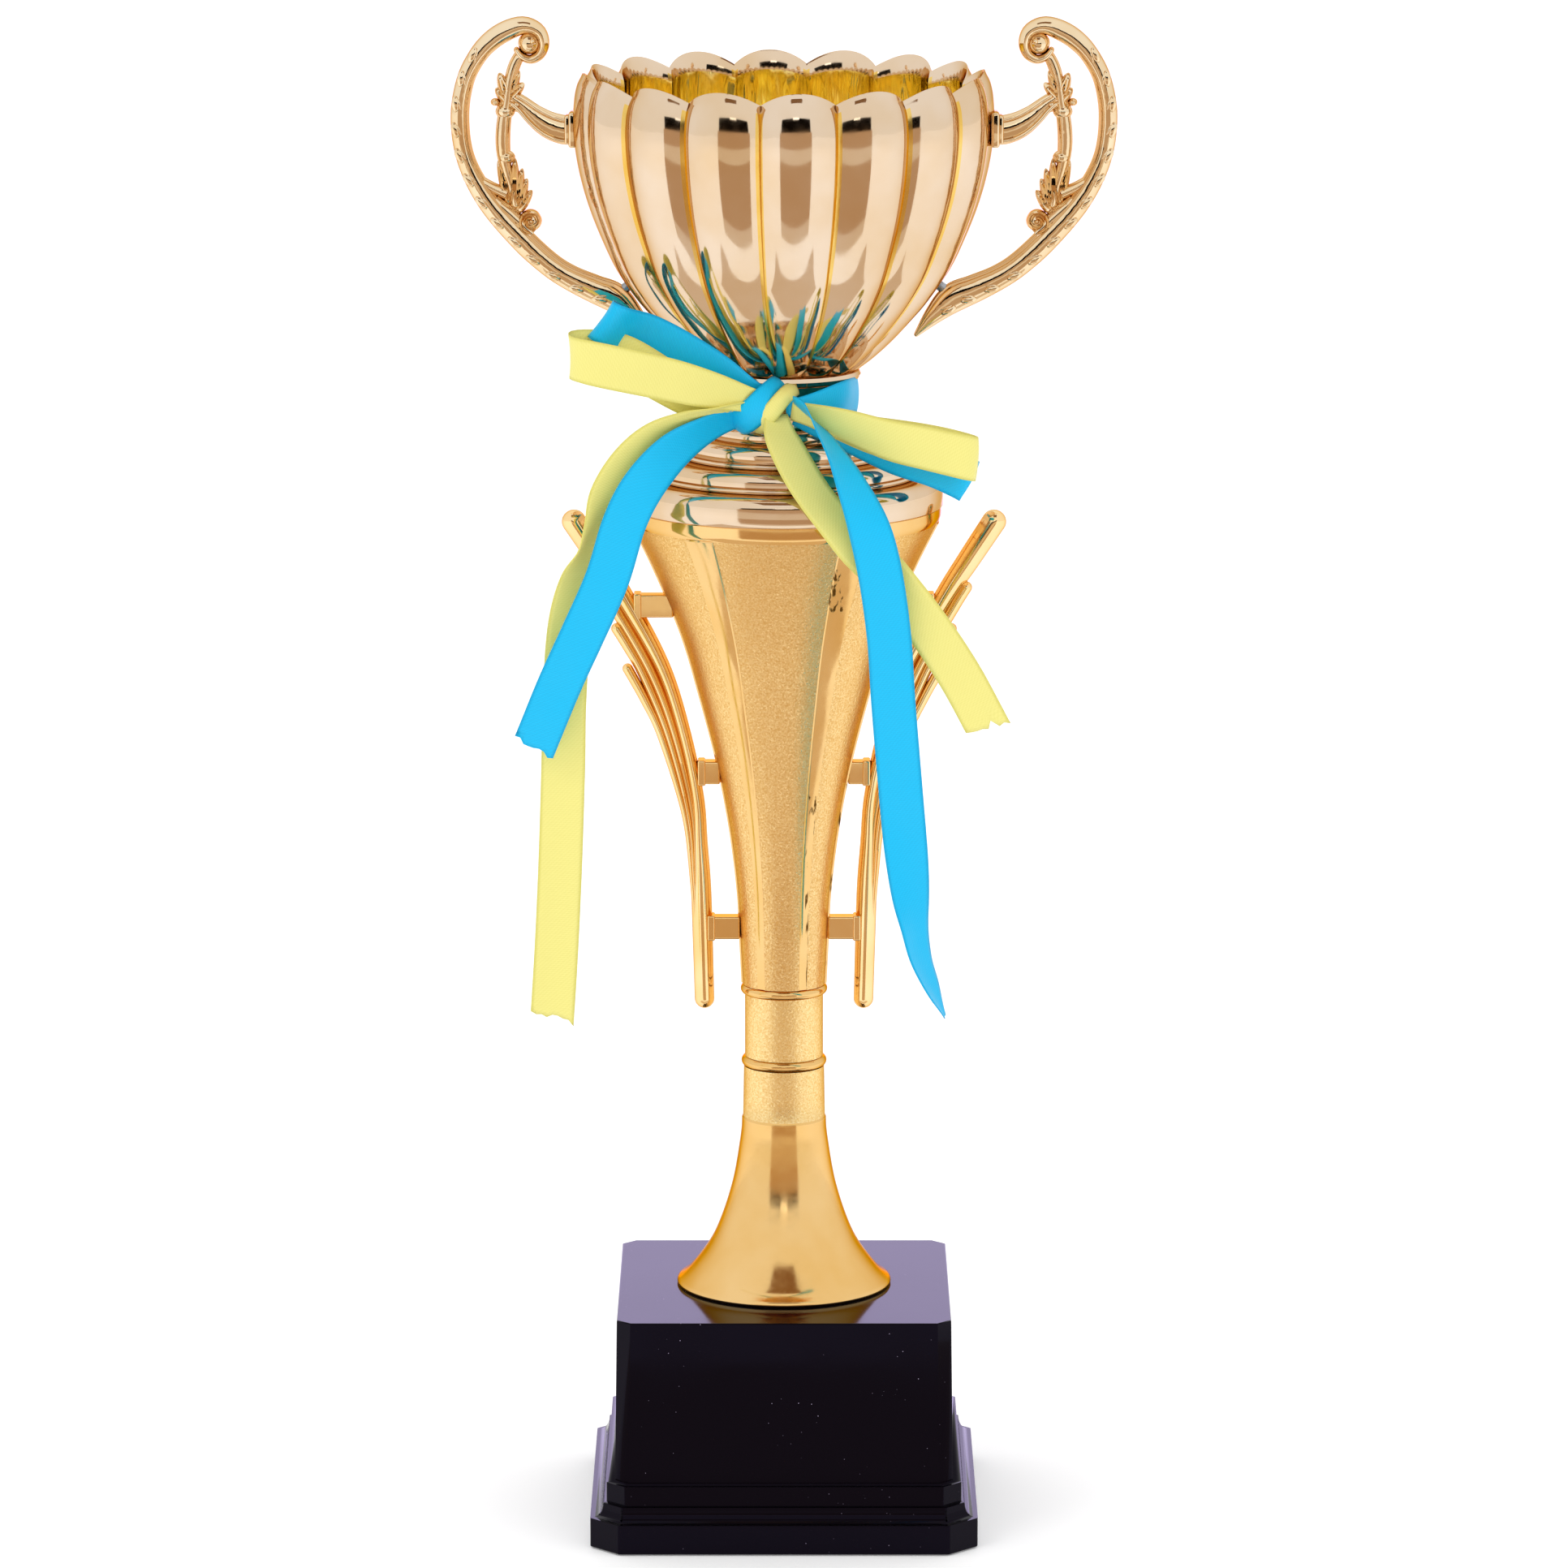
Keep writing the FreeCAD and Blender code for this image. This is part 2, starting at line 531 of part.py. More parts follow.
# ---- every node ---------------------------------------------------------------------------------
def all_nodes():
    right_handle = handle()
    nut_top = PLINTH_TOP - PLINTH_WALL - WASHER_T
    return {
        "plinth_shell": plinth_shell(),
        "plinth_weight": plinth_weight(),
        "bottom_cover": bottom_cover(),
        "tie_rod": tie_rod(),
        "lower_washer": washer(nut_top),
        "lower_nut": hex_nut(nut_top - NUT_T),
        "stem_foot": stem_foot(),
        "lower_bead_ring": bead_ring(FOOT_TOP_Z, LOWER_BEAD_TOP, 11.9),
        "collar": collar(),
        "upper_bead_ring": bead_ring(COLLAR_TOP, UPPER_BEAD_TOP, 12.1),
        "cone_body": cone_body(),
        "stepped_dome": stepped_dome(),
        "neck_spool": neck_spool(),
        "bowl": bowl(),
        "bowl_washer": washer(BOWL_FLOOR),
        "bowl_nut": hex_nut(BOWL_FLOOR + WASHER_T),
        "handle_right": right_handle,
        "handle_left": mirrored(right_handle),
        "handle_screws": handle_screws(),
        "wing_right": wing(),
        "wing_left": wing(on_left=True),
        "ribbon_blue": ribbon_blue(),
        "ribbon_yellow": ribbon_yellow(),
    }


def write_parts():
    os.makedirs("parts", exist_ok=True)
    for name, shape in all_nodes().items():
        print(f"{name:16s} solids {len(shape.Solids)} valid {shape.isValid()} volume {shape.Volume:9.0f}")
        shape.exportStep(f"parts/{name}.step")


write_parts()
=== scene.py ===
"""Looks of a two-handled cup trophy: metallised plastic, black plinth and satin ribbons."""
import bisect
import logging
import math
import random
from dataclasses import dataclass
from enum import Enum

import bmesh
import bpy
from mathutils import Matrix, Vector, noise


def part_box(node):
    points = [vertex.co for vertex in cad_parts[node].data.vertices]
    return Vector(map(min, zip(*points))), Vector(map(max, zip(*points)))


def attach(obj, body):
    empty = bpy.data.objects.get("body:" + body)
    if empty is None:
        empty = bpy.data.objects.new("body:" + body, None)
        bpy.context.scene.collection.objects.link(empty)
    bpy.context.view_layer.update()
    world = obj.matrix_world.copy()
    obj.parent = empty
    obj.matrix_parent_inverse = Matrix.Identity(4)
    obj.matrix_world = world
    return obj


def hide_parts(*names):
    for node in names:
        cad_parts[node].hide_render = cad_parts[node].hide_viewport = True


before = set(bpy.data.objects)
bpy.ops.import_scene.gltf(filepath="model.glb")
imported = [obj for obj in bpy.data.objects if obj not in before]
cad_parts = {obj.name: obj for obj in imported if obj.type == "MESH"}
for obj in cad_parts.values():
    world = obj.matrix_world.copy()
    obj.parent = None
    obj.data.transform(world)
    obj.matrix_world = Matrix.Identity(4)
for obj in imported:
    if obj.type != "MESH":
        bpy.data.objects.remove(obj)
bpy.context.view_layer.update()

MM = 0.001
BODY = "root"
LOG = logging.getLogger("trophy")

Numbers = tuple[float, ...]


# ---- colours and nodes --------------------------------------------------------------------------
def linear(colour: str) -> Numbers:
    """Turns an sRGB colour, six hex digits after a hash, into the linear RGBA that sockets take."""
    values = [int(colour[i:i + 2], 16) / 255 for i in (1, 3, 5)]
    return tuple(v / 12.92 if v <= 0.04045 else ((v + 0.055) / 1.055) ** 2.4 for v in values) + (1.0,)


def per_mm(size: float) -> float:
    """Noise scale, in repeats per metre, for features of this size in millimetres."""
    return 1 / (size * MM)


def add_node(tree: bpy.types.NodeTree, kind: str, settings: dict | None = None,
             inputs: dict | None = None) -> bpy.types.Node:
    """Adds one node with its settings, values and links.

    Args:
        tree: The node tree to add to.
        kind: The node's type, without the words that every shader node's type begins with.
        settings: Attributes of the node.
        inputs: Socket name or number to a value, to a socket to link from, or to a node to link the
            first output of.

    Returns:
        The new node.
    """
    node = tree.nodes.new("ShaderNode" + kind)
    for key, value in (settings or {}).items():
        setattr(node, key, value)
    for key, value in (inputs or {}).items():
        if isinstance(value, bpy.types.Node):
            value = value.outputs[0]
        if isinstance(value, bpy.types.NodeSocket):
            tree.links.new(value, node.inputs[key])
        else:
            node.inputs[key].default_value = value
    return node


# ---- finishes -----------------------------------------------------------------------------------
COLOURS = {"data_type": "RGBA"}
PRODUCT = {"operation": "MULTIPLY"}
WAVE_PERIOD = math.tau / 20     # distance between the bands of a wave texture whose scale is one


@dataclass(frozen=True)
class Finish:
    """What every finish has: a name, a main colour and a way to lay out its shader."""

    name: str
    colour: str

    def shader(self, tree: bpy.types.NodeTree) -> bpy.types.Node:
        """Adds the finish's shader, and all that feeds it, to an empty tree."""
        raise NotImplementedError

    def build(self) -> bpy.types.Material:
        """Makes the material.

        Returns:
            A material named for the finish, with the shader linked to its output.
        """
        material = bpy.data.materials.new(self.name)
        material.use_nodes = True
        material.node_tree.nodes.clear()
        add_node(material.node_tree, "OutputMaterial", inputs={"Surface": self.shader(material.node_tree)})
        return material


@dataclass(frozen=True)
class Metallised(Finish):
    """Moulded ABS with a vacuum-deposited aluminium mirror under tinted lacquer."""

    deep_colour: str                # where the lacquer lies thicker
    edge_colour: str                # tint of the reflection at a glancing angle
    roughness: float = 0.045
    ripple_mm: float = 9.0
    ripple_height_mm: float = 0.012
    streaked: bool = False
    streak_scale: float = 0.22      # scale of the patterns upwards; below one draws them out
    flaked: bool = False
    cloud_mm: float = 22.0
    haze_mm: float = 3.0

    def shader(self, tree: bpy.types.NodeTree) -> bpy.types.Node:
        """Bright mirror whose moulded waviness bends reflections a little, with faint lacquer clouds.

        Args:
            tree: The tree to add to.

        Returns:
            The shader.
        """
        place = add_node(tree, "TexCoord").outputs["Object"]
        if self.streaked:
            drawn_out = {"Vector": place, "Scale": (1.0, 1.0, self.streak_scale)}
            place = add_node(tree, "Mapping", inputs=drawn_out).outputs[0]
        cloud = add_node(tree, "TexNoise", inputs={
            "Vector": place, "Scale": per_mm(self.cloud_mm), "Detail": 3.0})
        thickness = add_node(tree, "MapRange", inputs={"Value": cloud, "From Min": 0.35, "From Max": 0.7})
        colour = add_node(tree, "Mix", COLOURS, {
            0: thickness, 6: linear(self.colour), 7: linear(self.deep_colour)}).outputs[2]
        haze = add_node(tree, "TexNoise", inputs={
            "Vector": place, "Scale": per_mm(self.haze_mm), "Detail": 4.0})
        roughness = add_node(tree, "MapRange", inputs={
            "Value": haze, "From Min": 0.3, "From Max": 0.8,
            "To Min": self.roughness, "To Max": self.roughness * 2.2})
        ripple = add_node(tree, "TexNoise", inputs={
            "Vector": place, "Scale": per_mm(self.ripple_mm), "Detail": 1.0})
        waves = add_node(tree, "Bump", inputs={
            "Height": ripple, "Distance": self.ripple_height_mm * MM, "Strength": 1.0})
        if self.flaked:
            flakes = Flakes()
            bare = flakes.mask(tree, place)
            colour = add_node(tree, "Mix", COLOURS, {0: bare, 6: colour, 7: linear(flakes.colour)}).outputs[2]
            roughness = add_node(tree, "Mix", inputs={0: bare, 2: roughness, 3: flakes.roughness})
        return add_node(tree, "BsdfPrincipled", inputs={
            "Base Color": colour, "Metallic": 1.0, "Roughness": roughness,
            "Specular Tint": linear(self.edge_colour), "Normal": waves})


@dataclass(frozen=True)
class Flakes:
    """Worn places of the plating, rubbed off down to brown lacquer, on the right of the front.

    Most of them lie low down, and one streak near the top. Places are in metres.
    """

    colour: str = "#6E4C20"
    roughness: float = 0.5
    flake_mm: float = 1.5
    drawn_out: float = 0.16
    low_below: Numbers = (0.214, 0.206)         # begins to show at the first height, fully at the second
    streak_above: Numbers = (0.256, 0.261)
    streak_below: Numbers = (0.277, 0.273)
    streak_left_of: Numbers = (0.0172, 0.0160)
    right_of: Numbers = (0.004, 0.006)
    front_of: Numbers = (0.0, -0.002)
    worn_from: Numbers = (0.53, 0.6)

    def mask(self, tree: bpy.types.NodeTree, place: bpy.types.NodeSocket) -> bpy.types.Node:
        """Adds the mask of the worn places.

        Args:
            tree: The tree to add to.
            place: Socket that gives the place on the object.

        Returns:
            Node that gives one where the plating is gone.
        """
        stretched = add_node(tree, "Mapping", inputs={"Vector": place, "Scale": (1.0, 1.0, self.drawn_out)})
        patches = add_node(tree, "TexNoise", inputs={
            "Vector": stretched, "Scale": per_mm(self.flake_mm), "Detail": 5.0})
        axes = add_node(tree, "SeparateXYZ", inputs={"Vector": place})
        low, above, below, left_of, right_of, front_of = (
            add_node(tree, "MapRange", inputs={
                "Value": axes.outputs[axis], "From Min": none, "From Max": full})
            for axis, (none, full) in (
                ("Z", self.low_below), ("Z", self.streak_above), ("Z", self.streak_below),
                ("X", self.streak_left_of), ("X", self.right_of), ("Y", self.front_of)))
        height = add_node(tree, "Math", PRODUCT, {0: above, 1: below})
        streak = add_node(tree, "Math", PRODUCT, {0: height, 1: left_of})
        zones = add_node(tree, "Math", {"operation": "MAXIMUM"}, {0: low, 1: streak})
        side = add_node(tree, "Math", PRODUCT, {0: right_of, 1: front_of})
        where = add_node(tree, "Math", PRODUCT, {0: zones, 1: side})
        worn = add_node(tree, "Math", PRODUCT, {0: patches, 1: where})
        return add_node(tree, "MapRange", inputs={
            "Value": worn, "From Min": self.worn_from[0], "From Max": self.worn_from[1]})


@dataclass(frozen=True)
class Frosted(Finish):
    """The same plated ABS over a sand-blasted mould: a satin face with bright grains."""

    deep_colour: str
    edge_colour: str
    grain_mm: float = 0.5           # real grit is about 0.3 mm; drawn coarser so that it shows
    grain_height_mm: float = 0.06

    def shader(self, tree: bpy.types.NodeTree) -> bpy.types.Node:
        """Rough metal with a grainy normal, so that single grains catch the light.

        Args:
            tree: The tree to add to.

        Returns:
            The shader.
        """
        place = add_node(tree, "TexCoord").outputs["Object"]
        grain = add_node(tree, "TexNoise", inputs={
            "Vector": place, "Scale": per_mm(self.grain_mm), "Detail": 2.0, "Roughness": 0.6})
        cells = add_node(tree, "TexVoronoi", inputs={"Vector": place, "Scale": per_mm(self.grain_mm * 1.5)})
        pebbles = add_node(tree, "Math", {"operation": "SUBTRACT"}, {0: grain, 1: cells})
        bump = add_node(tree, "Bump", inputs={
            "Height": pebbles, "Distance": self.grain_height_mm * MM, "Strength": 1.0})
        height = add_node(tree, "MapRange", inputs={"Value": grain, "From Min": 0.35, "From Max": 0.65})
        colour = add_node(tree, "Mix", COLOURS, {
            0: height, 6: linear(self.deep_colour), 7: linear(self.colour)})
        roughness = add_node(tree, "MapRange", inputs={
            "Value": grain, "From Min": 0.3, "From Max": 0.7, "To Min": 0.42, "To Max": 0.24})
        return add_node(tree, "BsdfPrincipled", inputs={
            "Base Color": colour.outputs[2], "Metallic": 1.0, "Roughness": roughness,
            "Specular Tint": linear(self.edge_colour), "Normal": bump})


@dataclass(frozen=True)
class GlossBlack(Finish):
    """Injection-moulded black polystyrene, polished by its mould, with a little settled dust."""

    dust_colour: str = "#9A8FA6"
    gloss_colour: str = "#CDBBF2"   # violet cast of the highlights
    dust_mm: float = 2.2            # distance between specks
    drift_mm: float = 24.0          # size of the dusty patches
    ripple_mm: float = 30.0
    ripple_height_mm: float = 0.02

    def shader(self, tree: bpy.types.NodeTree) -> bpy.types.Node:
        """Near-black dielectric gloss with a violet cast, faint swirls and sparse dust specks.

        Args:
            tree: The tree to add to.

        Returns:
            The shader.
        """
        place = add_node(tree, "TexCoord").outputs["Object"]
        specks = add_node(tree, "TexVoronoi", {"feature": "F1"}, {
            "Vector": place, "Scale": per_mm(self.dust_mm), "Randomness": 1.0})
        dot = add_node(tree, "MapRange", inputs={
            "Value": specks, "From Min": 0.04, "From Max": 0.07, "To Min": 1.0, "To Max": 0.0})
        drift = add_node(tree, "TexNoise", inputs={
            "Vector": place, "Scale": per_mm(self.drift_mm), "Detail": 2.0})
        where = add_node(tree, "MapRange", inputs={"Value": drift, "From Min": 0.5, "From Max": 0.62})
        dust = add_node(tree, "Math", PRODUCT, {0: dot, 1: where})
        colour = add_node(tree, "Mix", COLOURS, {
            0: dust, 6: linear(self.colour), 7: linear(self.dust_colour)})
        roughness = add_node(tree, "MapRange", inputs={
            "Value": drift, "From Min": 0.3, "From Max": 0.7, "To Min": 0.06, "To Max": 0.13})
        ripple = add_node(tree, "TexNoise", inputs={
            "Vector": place, "Scale": per_mm(self.ripple_mm), "Detail": 0.0})
        bump = add_node(tree, "Bump", inputs={
            "Height": ripple, "Distance": self.ripple_height_mm * MM, "Strength": 1.0})
        return add_node(tree, "BsdfPrincipled", inputs={
            "Base Color": colour.outputs[2], "Roughness": roughness, "IOR": 1.59, "Specular IOR Level": 0.08,
            "Specular Tint": linear(self.gloss_colour), "Normal": bump})


@dataclass(frozen=True)
class Satin(Finish):
    """Polyester satin ribbon: fine floats across the face and a woven selvedge on both edges."""

    shade: str
    thread_mm: float = 0.592        # real threads lie 0.15 mm apart; drawn coarser so that they show
    thread_height_mm: float = 0.02
    crease_mm: float = 14.0
    crease_height_mm: float = 0.35
    selvedge_mm: Numbers = (5.1, 5.7)   # from the middle: where the selvedge begins and is full

    def shader(self, tree: bpy.types.NodeTree) -> bpy.types.Node:
        """Soft sheen along the ribbon, a fine twill grain, and slightly deeper edges.

        Args:
            tree: The tree to add to.

        Returns:
            The shader.
        """
        cloth = add_node(tree, "UVMap", {"uv_map": "ribbon"})
        threads = {"Vector": cloth, "Scale": per_mm(self.thread_mm) * WAVE_PERIOD, "Distortion": 0.4}
        twill = add_node(tree, "TexWave", {"bands_direction": "DIAGONAL"}, threads).outputs["Fac"]
        weft = add_node(tree, "TexWave", {"bands_direction": "X"}, threads).outputs["Fac"]
        weave = add_node(tree, "Math", {"operation": "ADD"}, {0: twill, 1: weft})
        crease = add_node(tree, "TexNoise", inputs={
            "Vector": cloth, "Scale": per_mm(self.crease_mm), "Detail": 2.0})
        across = add_node(tree, "SeparateXYZ", inputs={"Vector": cloth}).outputs["Y"]
        from_middle = add_node(tree, "Math", {"operation": "ABSOLUTE"}, {0: across})
        selvedge = add_node(tree, "MapRange", inputs={
            "Value": from_middle, "From Min": self.selvedge_mm[0] * MM, "From Max": self.selvedge_mm[1] * MM,
            "To Min": 0.0, "To Max": 0.45})
        hollows = add_node(tree, "MapRange", inputs={
            "Value": weave, "From Min": 0.5, "From Max": 1.6, "To Min": 0.0, "To Max": 0.2})
        face = add_node(tree, "Mix", COLOURS, {0: hollows, 6: linear(self.colour), 7: linear(self.shade)})
        colour = add_node(tree, "Mix", COLOURS, {0: selvedge, 6: face.outputs[2], 7: linear(self.shade)})
        grain = add_node(tree, "Bump", inputs={
            "Height": weave, "Distance": self.thread_height_mm * MM, "Strength": 0.8})
        folds = add_node(tree, "Bump", inputs={
            "Height": crease, "Distance": self.crease_height_mm * MM, "Strength": 0.5, "Normal": grain})
        gloss = add_node(tree, "MapRange", inputs={
            "Value": crease, "From Min": 0.35, "From Max": 0.7, "To Min": 0.42, "To Max": 0.55})
        return add_node(tree, "BsdfPrincipled", inputs={
            "Base Color": colour.outputs[2], "Roughness": gloss, "Specular IOR Level": 0.25,
            "Sheen Weight": 0.08, "Sheen Roughness": 0.35, "Normal": folds})


@dataclass(frozen=True)
class Speckled(Finish):
    """A plain solid stuff with two close colours, for the pieces inside and underneath."""

    second: str
    speck_mm: float
    roughness: float
    metallic: float = 0.0
    tooth_mm: float = 0.05

    def shader(self, tree: bpy.types.NodeTree) -> bpy.types.Node:
        """Cloudy two-tone surface with a fine tooth.

        Args:
            tree: The tree to add to.

        Returns:
            The shader.
        """
        place = add_node(tree, "TexCoord").outputs["Object"]
        speck = add_node(tree, "TexNoise", inputs={
            "Vector": place, "Scale": per_mm(self.speck_mm), "Detail": 4.0})
        share = add_node(tree, "MapRange", inputs={"Value": speck, "From Min": 0.35, "From Max": 0.65})
        colour = add_node(tree, "Mix", COLOURS, {0: share, 6: linear(self.colour), 7: linear(self.second)})
        bump = add_node(tree, "Bump", inputs={
            "Height": speck, "Distance": self.tooth_mm * MM, "Strength": 0.5})
        return add_node(tree, "BsdfPrincipled", inputs={
            "Base Color": colour.outputs[2], "Roughness": self.roughness, "Metallic": self.metallic,
            "Normal": bump})


@dataclass(frozen=True)
class Glow(Finish):
    """Evenly lit paper or wall, for the cards that only reflections show."""

    strength: float = 1.0

    def shader(self, tree: bpy.types.NodeTree) -> bpy.types.Node:
        """One even light."""
        return add_node(tree, "Emission", inputs={"Color": linear(self.colour), "Strength": self.strength})


@dataclass(frozen=True)
class LitAcrylic(Finish):
    """White acrylic sheet lit a little from below: the pale floor."""

    second: str
    clouds_per_metre: float = 2.0

    def shader(self, tree: bpy.types.NodeTree) -> bpy.types.Node:
        """Matt white with very faint clouds, and a small light of its own.

        Args:
            tree: The tree to add to.

        Returns:
            The shader.
        """
        place = add_node(tree, "TexCoord").outputs["Object"]
        cloud = add_node(tree, "TexNoise", inputs={"Vector": place, "Scale": self.clouds_per_metre})
        colour = add_node(tree, "Mix", COLOURS, {0: cloud, 6: linear(self.colour), 7: linear(self.second)})
        return add_node(tree, "BsdfPrincipled", inputs={
            "Base Color": colour.outputs[2], "Roughness": 0.8, "Emission Color": linear("#FFFFFF"),
            "Emission Strength": 0.14})


class Stuff(Enum):
    """Every finish of the trophy, each built once."""

    CHAMPAGNE = Metallised("champagne_plated_abs", "#E5CFB6", "#DEC19C", "#D9B078", roughness=0.055)
    CAST = Metallised("scrolled_champagne_abs", "#F2DCB8", "#EACB9C", "#D9A868", ripple_mm=2.6,
                      ripple_height_mm=0.06)
    # yellower plating painted along the bowl's grooves: a painted reflection of the lobes mirroring each
    # other there
    POOLED = Metallised("painted_groove_reflection_abs", "#EFCB74", "#E3B450", "#D0A050", roughness=0.12)
    INSIDE = Metallised("yellow_lacquered_abs", "#FFF3A8", "#FADF88", "#F0CC60", roughness=0.06,
                        ripple_mm=3.2, ripple_height_mm=0.7, streaked=True)
    WARM = Metallised("warm_plated_abs", "#F0C888", "#EABC72", "#CC9450", roughness=0.07)
    TRUMPET = Metallised("soft_warm_plated_abs", "#F0C888", "#EABC72", "#CC9450", roughness=0.1)
    RIB = Metallised("flaked_warm_plated_abs", "#F0C888", "#EABC72", "#CC9450", roughness=0.07, flaked=True)
    # the same warm plating in lighter colours for the wings: painted light
    FAN = Metallised("wing_warm_plated_painted_lighter", "#FFDFA6", "#F8D08C", "#E0AC68", roughness=0.07)
    FROST = Frosted("sand_textured_plated_abs", "#F8D698", "#E4B56C", "#C89858")
    # the same frosted plating in lighter colours for the upright foot band and collar: painted light, making
    # up for the darker room that they reflect
    FROST_TUBE = Frosted("sand_textured_plated_painted_lighter", "#FFE2A4", "#F0C67C", "#C89858")
    BLACK = GlossBlack("gloss_black_polystyrene", "#070509")
    BLUE = Satin("blue_polyester_satin", "#06BDF0", "#059AD0")
    YELLOW = Satin("lemon_polyester_satin", "#EEE588", "#D8CF5C")
    ZINC = Speckled("zinc_plated_steel", "#B9BDC2", "#8E9297", 1.5, 0.35, 1.0)
    PLASTER = Speckled("cast_plaster", "#D8D2C8", "#BEB7AA", 2.0, 0.9)
    BOARD = Speckled("black_fibre_board", "#1A191B", "#2A282B", 0.8, 0.8)

    def material(self) -> bpy.types.Material:
        """The finish's material, built the first time that it is asked for."""
        return bpy.data.materials.get(self.value.name) or self.value.build()


# ---- curves and meshes --------------------------------------------------------------------------
class Route:
    """A smooth line through stations, each a place followed by other numbers such as a width."""

    def __init__(self, stations: list[Numbers], axes: int = 2, per_span: int = 12) -> None:
        """Runs a Catmull-Rom curve through the stations.

        Args:
            stations: Tuples of the same length.
            axes: How many of a station's first numbers are its place.
            per_span: How many steps lie between two stations.
        """
        self.points: list[Numbers] = []
        last = len(stations) - 1
        for i in range(last):
            a, b, c, d = (stations[min(max(i + k, 0), last)] for k in (-1, 0, 1, 2))
            for step in range(per_span):
                t = step / per_span
                self.points.append(tuple(
                    0.5 * (2 * q + (r - p) * t + (2 * p - 5 * q + 4 * r - s) * t * t
                           + (3 * q - p - 3 * r + s) * t ** 3)
                    for p, q, r, s in zip(a, b, c, d)))
        self.points.append(tuple(stations[-1]))
        self.reached = [0.0]
        for p, q in zip(self.points, self.points[1:]):
            self.reached.append(self.reached[-1] + math.dist(p[:axes], q[:axes]))
        self.length = self.reached[-1]

    def at(self, distance: float) -> Numbers:
        """The station values at a distance along the line.

        Args:
            distance: Distance from the first station, held within the line.

        Returns:
            As many numbers as a station has.
        """
        distance = min(max(distance, 0.0), self.length)
        low = min(max(bisect.bisect_right(self.reached, distance) - 1, 0), len(self.points) - 2)
        step = self.reached[low + 1] - self.reached[low]
        part = (distance - self.reached[low]) / step if step else 0.0
        return tuple(p + (q - p) * part for p, q in zip(self.points[low], self.points[low + 1]))

    def run(self, distance: float, axes: int = 2, reach: float = 0.6) -> Vector:
        """Unit vector of travel at a distance along the line, between points a reach behind and ahead."""
        ahead, behind = self.at(distance + reach), self.at(distance - reach)
        return (Vector(ahead[:axes]) - Vector(behind[:axes])).normalized()


class Section(Enum):
    """Cross-section of a swept bar, as the power of its rounded outline."""

    ROUND = 2.0
    BAND = 2.1
    KEEL = 1.65


def placed(bm: bmesh.types.BMesh, name: str, materials: list[bpy.types.Material]) -> bpy.types.Object:
    """Puts a finished mesh into the scene as a smooth-shaded object.

    Args:
        bm: The mesh, which is freed.
        name: Name of the mesh and of the object.
        materials: In the order of the faces' material numbers.

    Returns:
        The object.
    """
    for face in bm.faces:
        face.smooth = True
    mesh = bpy.data.meshes.new(name)
    bm.to_mesh(mesh)
    bm.free()
    for material in materials:
        mesh.materials.append(material)
    piece = bpy.data.objects.new(name, mesh)
    bpy.context.scene.collection.objects.link(piece)
    return piece


